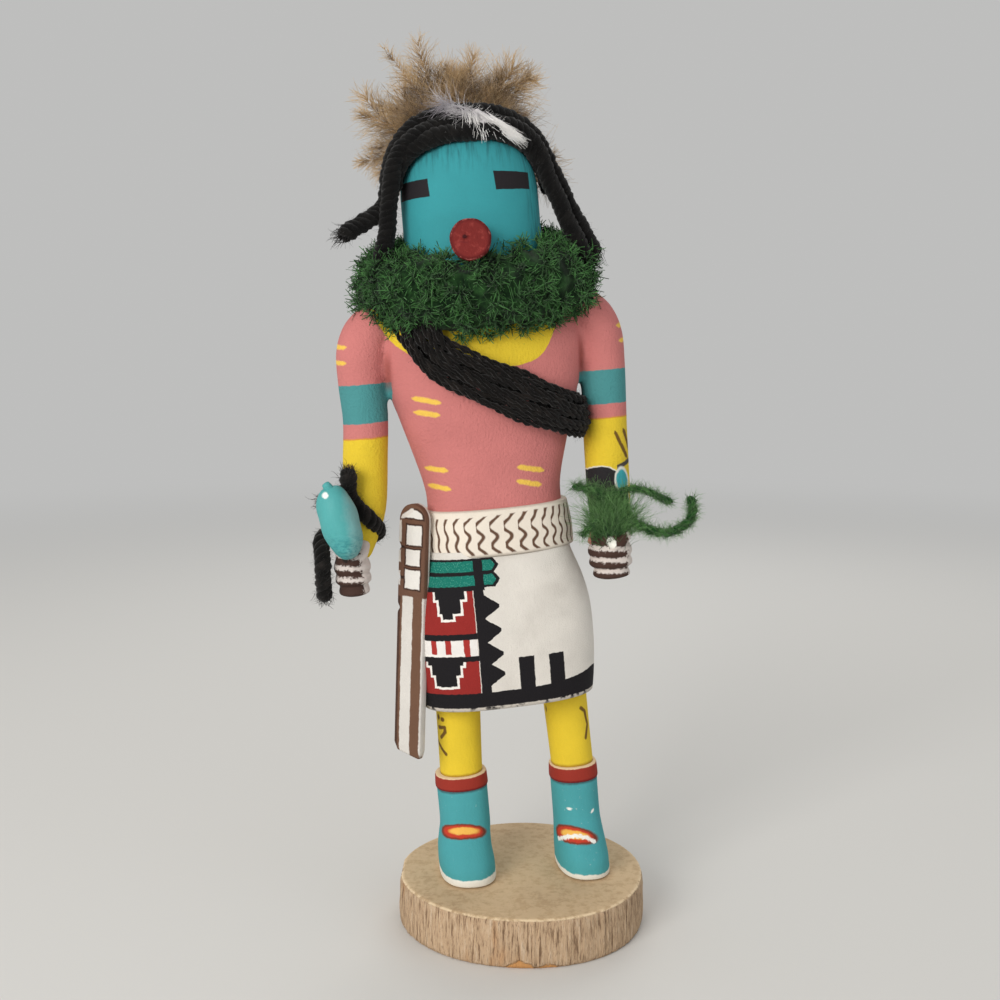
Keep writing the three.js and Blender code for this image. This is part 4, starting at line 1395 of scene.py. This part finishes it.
def frayed(path, end, count, spread, inset, splay, reach, radius, rng):
    """Loose hairs at the first (0) or the last (-1) point of a strand."""
    tangent = unit(path[end] - path[3 if end == 0 else -4])
    starts = path[end] + rng.normal(size=(count, 3)) * spread - tangent * inset
    ways = tangent + rng.normal(size=(count, 3)) * splay
    return fibres(starts, ways, rng.uniform(*reach, count), radius, rng, 0.4)


HAIR = [
    # over the brow, hanging at both sides of the mask
    [(-25, -6, 168), (-22.3, -6.5, 178), (-20.6, -7, 188), (-17.4, -7.5, 195.6), (-9.5, -7.8, 200.2),
     (0, -8, 201.2), (9.5, -7.8, 200.2), (16.4, -7.2, 196), (19.6, -6.5, 188), (23.4, -6, 178),
     (28.6, -6, 165.5)],
    # close over the top of the mask
    [(-20.5, -4.5, 186), (-17.6, -6.5, 193), (-10, -9.2, 197.6), (0, -10.4, 198.6), (10, -9.2, 197.6),
     (17.2, -6.5, 192.6), (20, -4.5, 186)],
    # behind it, with the end that sticks out sideways
    [(-34.5, -8, 175.2), (-28, -6, 178.6), (-22.4, -3.5, 182.6), (-20.8, -3, 190), (-16.8, -3.6, 198.6),
     (-9, -4, 203.6), (0, -4, 204.6), (9, -4, 203.4), (17, -3.4, 198.4), (21.6, -3, 189.5), (26.4, -3, 178),
     (32, -3.5, 166.5)],
    # the last one, short, ending behind the others
    [(-21, 1.5, 186), (-17.8, 0.6, 197), (-9.5, 0.3, 203.4), (0, 0.2, 204.8), (9.5, 0.3, 203.2),
     (18, 0.8, 196), (22, 1.5, 184)],
]


def make_hair():
    rng = np.random.default_rng(11)
    paths = [path_through(points, 0.55) for points in HAIR]
    shapes = [yarn(path, 2.3, 3, 5.4, 8, rng) for path in paths]
    strands = with_values(joined(shapes), along=0.15)
    loose = fuzz(paths, 2.2, 5000, 1.5, 0.04, rng, lean=1.6, segments=2)
    ends = []
    for path, end in ((paths[0], 0), (paths[0], -1), (paths[2], 0), (paths[2], -1)):
        ends.append(frayed(path, end, 90, 0.9, 1.0, 0.35, (1.5, 4.0), 0.09, rng))
    whole = joined([strands, loose] + ends)
    show("hair_strands", whole, wool("black_wool", (12, 11, 11), (40, 38, 36)), ["hair_yarn"])


BAND_PATH = [
    # from under the wool, down across the chest
    (-17.4, -13, 149.4), (-13.6, -15.6, 142.8), (-7, -16.8, 138.4), (0, -17, 134.6), (8, -16.6, 130.8),
    (16, -14.6, 127.4),
    # under the arm, up across the back and over the shoulder
    (22.4, -9.5, 125), (25.4, -1, 124.6), (21.6, 9.8, 127.4), (10, 15.8, 133.6), (-4, 16.8, 141.4),
    (-13, 14.6, 149.4), (-18.4, 8.4, 156.6), (-19.4, -4, 157.4),
]


def make_bandolier():
    rng = np.random.default_rng(23)
    path = path_through(BAND_PATH, 0.85, closed=True)
    tangents = unit(np.roll(path, -1, 0) - np.roll(path, 1, 0))
    lift = np.clip((path[:, 2] - 148) / 12, 0, 1)
    lift = lift * lift * (3 - 2 * lift) * 1.2
    out = unit(np.stack([path[:, 0] / 26, path[:, 1] / 14, lift], 1))
    up = unit(np.cross(out, tangents))
    out = np.cross(tangents, up)
    run = np.arange(len(path)) / len(path) * 2 * math.pi
    strands, paths = [], []
    places = [(-5.2 + 1.04 * i, 1.2 - 0.055 * (i - 5) ** 2 + 0.35 * (i % 2)) for i in range(11)]
    places += [(-4.0 + 1.35 * i, -1.0) for i in range(7)]
    for index, (across, away) in enumerate(places):
        sway = 0.45 * np.sin(3 * run + index * 1.7) + 0.3 * np.sin(8 * run + index * 2.9)
        heave = 0.22 * np.sin(6 * run + index * 2.2)
        line = path + up * (across + sway)[:, None] + out * (away + heave)[:, None]
        paths.append(line)
        strands.append(yarn(line, 0.86, 2, 5.5, 5, rng, closed=True))
    strands = with_values(joined(strands), along=0.12)
    loose = fuzz(paths, 0.85, 4500, 1.4, 0.036, rng, lean=1.8, segments=2)
    whole = joined([strands, loose])
    material = wool("black_band_wool", (15, 12, 11), (46, 40, 36))
    show("bandolier_strands", whole, material, ["bandolier"])


def make_wrist_cord():
    rng = np.random.default_rng(31)
    x, y, z = RATTLE_HAND
    path = path_through([
        (x + 1.4, y - 1.6, z + 33), (x + 1, y - 0.6, z + 26), (x + 5.4, y - 0.6, z + 20),
        (x + 7.6, y + 4, z + 15.5), (x + 3, y + 10.4, z + 14), (x - 4.4, y + 8, z + 15.5),
        (x - 7.2, y + 1, z + 15), (x - 7.6, y - 3, z + 8),
        (x - 8, y - 2, z + 0.4),
    ], 0.4)
    tuft = path_through([
        (x - 6.6, y - 5.0, z + 25.5), (x - 3.0, y - 4.6, z + 27.0), (x + 0.8, y - 2.6, z + 25.0),
    ], 0.4)
    strands = joined([yarn(path, 2.1, 3, 5.2, 9, rng), yarn(tuft, 1.6, 2, 4.4, 8, rng)])
    with_values(strands, along=0.12)
    loose = fuzz([path, tuft], 1.9, 3000, 1.5, 0.04, rng, lean=1.3, segments=2)
    ends = []
    for line, end in ((path, 0), (path, -1), (tuft, 0)):
        ends.append(frayed(line, end, 160, 0.8, 1.2, 0.5, (1.2, 2.8), 0.08, rng))
    whole = joined([strands, loose] + ends)
    material = wool("black_cord_wool", (16, 15, 14), (52, 48, 46))
    show("wrist_strands", whole, material, ["wrist_cord"])


def ruff_surface(angle, turn):
    """Points of the ring of wool, at an angle round the neck and a turn round its thickness."""
    front = -np.sin(angle)
    lumps = 1 + 0.06 * np.sin(7 * angle + 3 * turn)
    lumps = lumps + 0.07 * np.sin(17 * angle - 4 * turn + 1) * np.sin(9 * angle + 5 * turn)
    reach = np.cos(turn) * 10.6 * lumps
    dip = 2.6 * np.exp(-(((np.degrees(angle) - 262) / 16) ** 2)) * np.maximum(np.sin(turn), 0)
    z = 161.6 - 3.2 * front + np.sin(turn) * 11.4 * lumps - dip
    return np.stack([(22 + reach) * np.cos(angle), (13.5 + reach) * np.sin(angle), z], -1)


def make_ruff():
    rng = np.random.default_rng(47)
    around, sides = 150, 44
    angle = np.linspace(0, 2 * math.pi, around, endpoint=False)[:, None]
    turn = -np.linspace(0, 2 * math.pi, sides, endpoint=False)[None]
    angle, turn = np.broadcast_arrays(angle, turn)
    surface = ruff_surface(angle, turn)
    inward = ruff_surface(angle, turn * 0 + math.pi)
    middle = (ruff_surface(angle, turn * 0) + inward) / 2
    body = middle + (surface - middle) * 0.8
    core = Shape(body.reshape(-1, 3), [grid_faces(around, sides, along=True)], tone=0.3, along=0.25)

    # curly tufts: from the heart of each, hairs that curl outward on all sides
    tufts = 860
    number = np.arange(tufts)
    a = number * 2 * math.pi * 0.618034 + rng.normal(size=tufts) * 0.08
    t = (number + rng.uniform(0, 1, tufts)) * 2 * math.pi / tufts
    keep = np.abs(t - math.pi) > 0.8
    a, t = a[keep], t[keep]
    top = ruff_surface(a, t)
    heart = (ruff_surface(a, t * 0) + ruff_surface(a, t * 0 + math.pi)) / 2
    normal = unit(top - heart)
    root = heart + (top - heart) * rng.uniform(0.7, 0.9, (len(top), 1))
    per = 27
    ways = np.repeat(normal, per, 0) * 0.75 + unit(rng.normal(size=(len(root) * per, 3)))
    starts = np.repeat(root, per, 0) + unit(ways) * rng.uniform(0.3, 1.4, (len(ways), 1))
    lengths = np.repeat(rng.uniform(1.2, 2.1, len(root)), per) * rng.uniform(0.8, 1.2, len(starts))
    tone = np.clip(np.repeat(rng.uniform(0, 1, len(root)), per) + rng.normal(size=len(starts)) * 0.15, 0, 1)
    segments = 2
    hairs = fibres(starts, ways, lengths, 0.17, rng, 1.25, segments, tone=tone, tip=0.75)
    material = wool("green_wool", (12, 36, 16), (80, 132, 72), 0.12)
    half = len(starts) // 2
    show("ruff_core", core, material, ["ruff"])
    show("ruff_tufts_a", part_of(hairs, 0, half, segments), material, ["ruff"])
    show("ruff_tufts_b", part_of(hairs, half, len(starts), segments), material, ["ruff"])


def part_of(hairs, first, end, segments):
    """Some of many equal hairs, by number."""
    per = 3 * (segments + 1)
    each = 3 * segments
    faces = hairs.faces[0][first * each: end * each] - first * per
    keep = slice(first * per, end * per)
    values = {name: value[keep] for name, value in hairs.values.items()}
    return Shape(hairs.points[keep], [faces], **values)


def make_sprig():
    rng = np.random.default_rng(59)
    x, y, z = SPRIG_HAND[0], SPRIG_HAND[1] - 0.5, SPRIG_HAND[2] + 9
    trunk = path_through([(x, y, z), (x, y - 1, z + 6), (x + 0.6, y - 3, z + 12)], 0.4)
    branches = [
        ([(x + 1, y - 3, z + 10), (x - 3, y - 4.5, z + 15), (x - 10, y - 5, z + 17.6)], 1.0, 2.6),
        ([(x - 0.5, y - 3, z + 13), (x + 6, y - 4.5, z + 15.4), (x + 16.5, y - 5, z + 10.6)], 0.9, 1.9),
        ([(x, y - 3, z + 11), (x + 7, y - 4, z + 5.4), (x + 15, y - 5, z + 2.6), (x + 21.6, y - 5, z + 6),
          (x + 22, y - 4, z + 11.6)], 1.2, 2.0),
        ([(x + 1, y - 3, z + 11), (x - 4, y - 4, z + 8), (x - 8.6, y - 5, z + 4)], 0.8, 2.2),
    ]
    shapes = [with_values(yarn(trunk, 2.2, 3, 7.0, 8, rng), along=0.2)]
    for points, thick, hair in branches:
        path = path_through(points, 0.4)
        shapes.append(with_values(yarn(path, thick, 2, 5.0, 7, rng), along=0.25))
        shapes.append(fuzz([path], thick, int(len(path) * 24), hair, 0.055, rng, 0.6, 1.1, 2))
    # the brushed-out middle, fanning up from the fist
    number = 1900
    start = np.array([x + 0.3, y - 2.6, z + 3.5]) + rng.normal(size=(number, 3)) * (2.0, 0.9, 1.6)
    sideways = rng.normal(size=number) * 0.75
    way = np.stack([sideways, rng.normal(size=number) * 0.22 - 0.15, np.ones(number)], 1)
    shapes.append(fibres(start, way, rng.uniform(5.0, 12.0, number), 0.065, rng, 0.35, 3))
    whole = joined(shapes)
    material = wool("sprig_green_wool", (28, 68, 30), (118, 168, 98), 0.15)
    show("sprig_wool", whole, material, ["sprig"])


# ---- feathers ----

def plume(root, tip, bow, width, barbs, rng, facing=(0.0, -1.0, 0.2), down=0.35, thick=0.07, quill=0.28):
    """One feather: a tapering quill with barbs on both sides, fluffier toward its root."""
    root, tip, bow = (np.asarray(v, float) for v in (root, tip, bow))
    t = np.linspace(0, 1, 22)[:, None]
    middle = (root + tip) / 2 + bow
    path = root * (1 - t) ** 2 + 2 * middle * t * (1 - t) + tip * t ** 2
    tangents = unit(np.gradient(path, axis=0))
    side = unit(np.cross(tangents, np.asarray(facing, float)))
    shapes = [tube(path, np.linspace(quill, quill * 0.2, len(path)), 6, tone=0.6)]
    with_values(shapes[0], along=0.3)
    at = np.sort(rng.uniform(0.05, 1.0, barbs))
    index = at * (len(path) - 1)
    i = np.minimum(index.astype(int), len(path) - 2)
    part = (index - i)[:, None]
    start = path[i] * (1 - part) + path[i + 1] * part
    hand = np.where(rng.uniform(size=barbs) < 0.5, -1.0, 1.0)[:, None]
    forward = (0.85 + 1.1 * at ** 2)[:, None]
    fluff = (down * (1.25 - at))[:, None]
    way = side[i] * hand + tangents[i] * forward + rng.normal(size=(barbs, 3)) * fluff
    outline = 0.35 + 0.9 * np.sin(math.pi * (at * 0.86 + 0.08))
    length = width * outline * rng.uniform(0.75, 1.15, barbs)
    tone = np.clip(0.45 + 0.45 * at + rng.normal(size=barbs) * 0.12, 0, 1)
    shapes.append(fibres(start, way, length, thick, rng, 0.28 + down * 0.5, 2, tone=tone, tip=0.45))
    return shapes


def make_crest():
    rng = np.random.default_rng(71)
    x, y, z = 0.0, 7.0, 199.0
    shapes = []
    main = [
        (-108, 25), (-90, 29), (-71, 29), (-55, 30), (-38, 33), (-25, 30), (-9, 21),
        (7, 20), (22, 25), (39, 26), (54, 28), (76, 20), (99, 27), (116, 30),
    ]
    for angle, length in main:
        for copy in range(2):
            turn = (angle + rng.normal() * 5) * DEGREE
            reach = 0.93 * length * (rng.uniform(0.6, 1.0) if copy else 1.0)
            across, up = math.sin(turn), math.cos(turn)
            depth = rng.uniform(-3.0, 5.0)
            root = (x + across * 6, y + depth * 0.4, z + up * 4)
            tip = (x + across * reach, y + depth + rng.normal() * 1.0, z + up * reach)
            bow = rng.normal(size=3) * (3.4, 1.2, 3.4)
            width = rng.uniform(4.0, 8.0)
            shapes += plume(root, tip, bow, width, 250, rng, (0.3 * across, -1, 0.2), 0.36, 0.066, 0.13)
    # soft down round the roots
    number = 6400
    turn = rng.uniform(-125, 125, number) * DEGREE
    reach = rng.uniform(4, 17, number)
    across, up = np.sin(turn), np.cos(turn)
    start = np.stack([x + across * reach, y + rng.normal(size=number) * 2.6, z + up * reach * 0.75], 1)
    way = np.stack([across, rng.normal(size=number) * 0.6 - 0.2, up], 1)
    way += rng.normal(size=(number, 3)) * 0.6
    shapes.append(fibres(start, way, rng.uniform(2.5, 8.0, number), 0.06, rng, 0.9, 2))
    material = feather_paint("brown_feather", (78, 58, 38), (208, 176, 130), (140, 111, 76))
    split = len(shapes) // 2
    show("crest_plumes_a", joined(shapes[:split]), material, ["feather_crest"])
    show("crest_plumes_b", joined(shapes[split:]), material, ["feather_crest"])


def tuft(starts, ways, reach, radius, curl, tone, rng):
    """Barbs of four segments and one tone."""
    count = len(starts)
    return fibres(starts, ways, rng.uniform(*reach, count), radius, rng, curl, 4, tone=np.full(count, tone))


def feather_paint(name, dark, light, between):
    paint = Paint(name, between, 0.7)
    figure, _ = paint.place()
    tone = paint.amount("tone")
    along = paint.amount("along")
    patch = paint.noise(figure, 0.11, 3.0)
    paint.cover(dark, ramp(patch, 0.56, 0.4) * 0.8)
    paint.cover(light, ramp(tone * 0.6 + along * 0.5 + (patch - 0.5) * 1.2, 0.35, 1.0))
    paint.shade(0.85 + paint.noise(figure, 2.0, 2.0) * 0.3)
    paint.shader.inputs["Sheen Weight"].default_value = 0.2
    return paint.done()


def make_white_feather():
    rng = np.random.default_rng(83)
    shapes = []
    root, tip = np.array([-6.0, -8.0, 206.5]), np.array([12.6, -12.2, 195.4])
    bow = np.array([2.0, -0.6, 2.4])
    shapes += plume(root, tip, bow, 2.2, 220, rng, (0.25, -0.7, 0.65), 0.25, 0.05, 0.1)
    # the close white vane near the tip: barbs lying along the quill
    number = 420
    part = rng.uniform(0.36, 0.7, number)[:, None]
    start = root + (tip - root) * part + bow * (2 * part * (1 - part))
    start += rng.normal(size=(number, 3)) * (0.35, 0.25, 0.35)
    way = (tip - root) / np.linalg.norm(tip - root) + rng.normal(size=(number, 3)) * 0.07 + (0.0, 0, -0.22)
    shapes.append(tuft(start, way, (5.0, 9.0), 0.12, 0.05, 1.0, rng))
    # barbs come loose, hanging over the brow
    number = 90
    part = rng.uniform(0.28, 0.55, number)[:, None]
    start = root + (tip - root) * part + rng.normal(size=(number, 3)) * 0.4 + (0, -0.9, 0.4)
    way = np.stack([rng.normal(size=number) * 0.2 + 0.12, np.full(number, -0.42), -np.ones(number)], 1)
    shapes.append(tuft(start, way, (3.0, 6.5), 0.1, 0.1, 0.9, rng))
    # grey down behind its root
    number = 260
    part = rng.uniform(0.0, 0.4, number)[:, None]
    start = root + (tip - root) * part + rng.normal(size=(number, 3)) * 0.7
    backward = -rng.uniform(0.2, 1.2, number)
    way = np.stack([backward, rng.normal(size=number) * 0.4, rng.normal(size=number) * 0.5], 1)
    shapes.append(tuft(start, way, (3.0, 7.0), 0.05, 0.6, 0.2, rng))
    material = feather_paint("white_feather", (150, 144, 152), (238, 236, 234), (206, 202, 206))
    show("white_plume", joined(shapes), material, ["white_feather"])


make_base()
make_sash()
make_snout()
make_rattle()
make_hair()
make_bandolier()
make_wrist_cord()
make_ruff()
make_sprig()
make_crest()
make_white_feather()
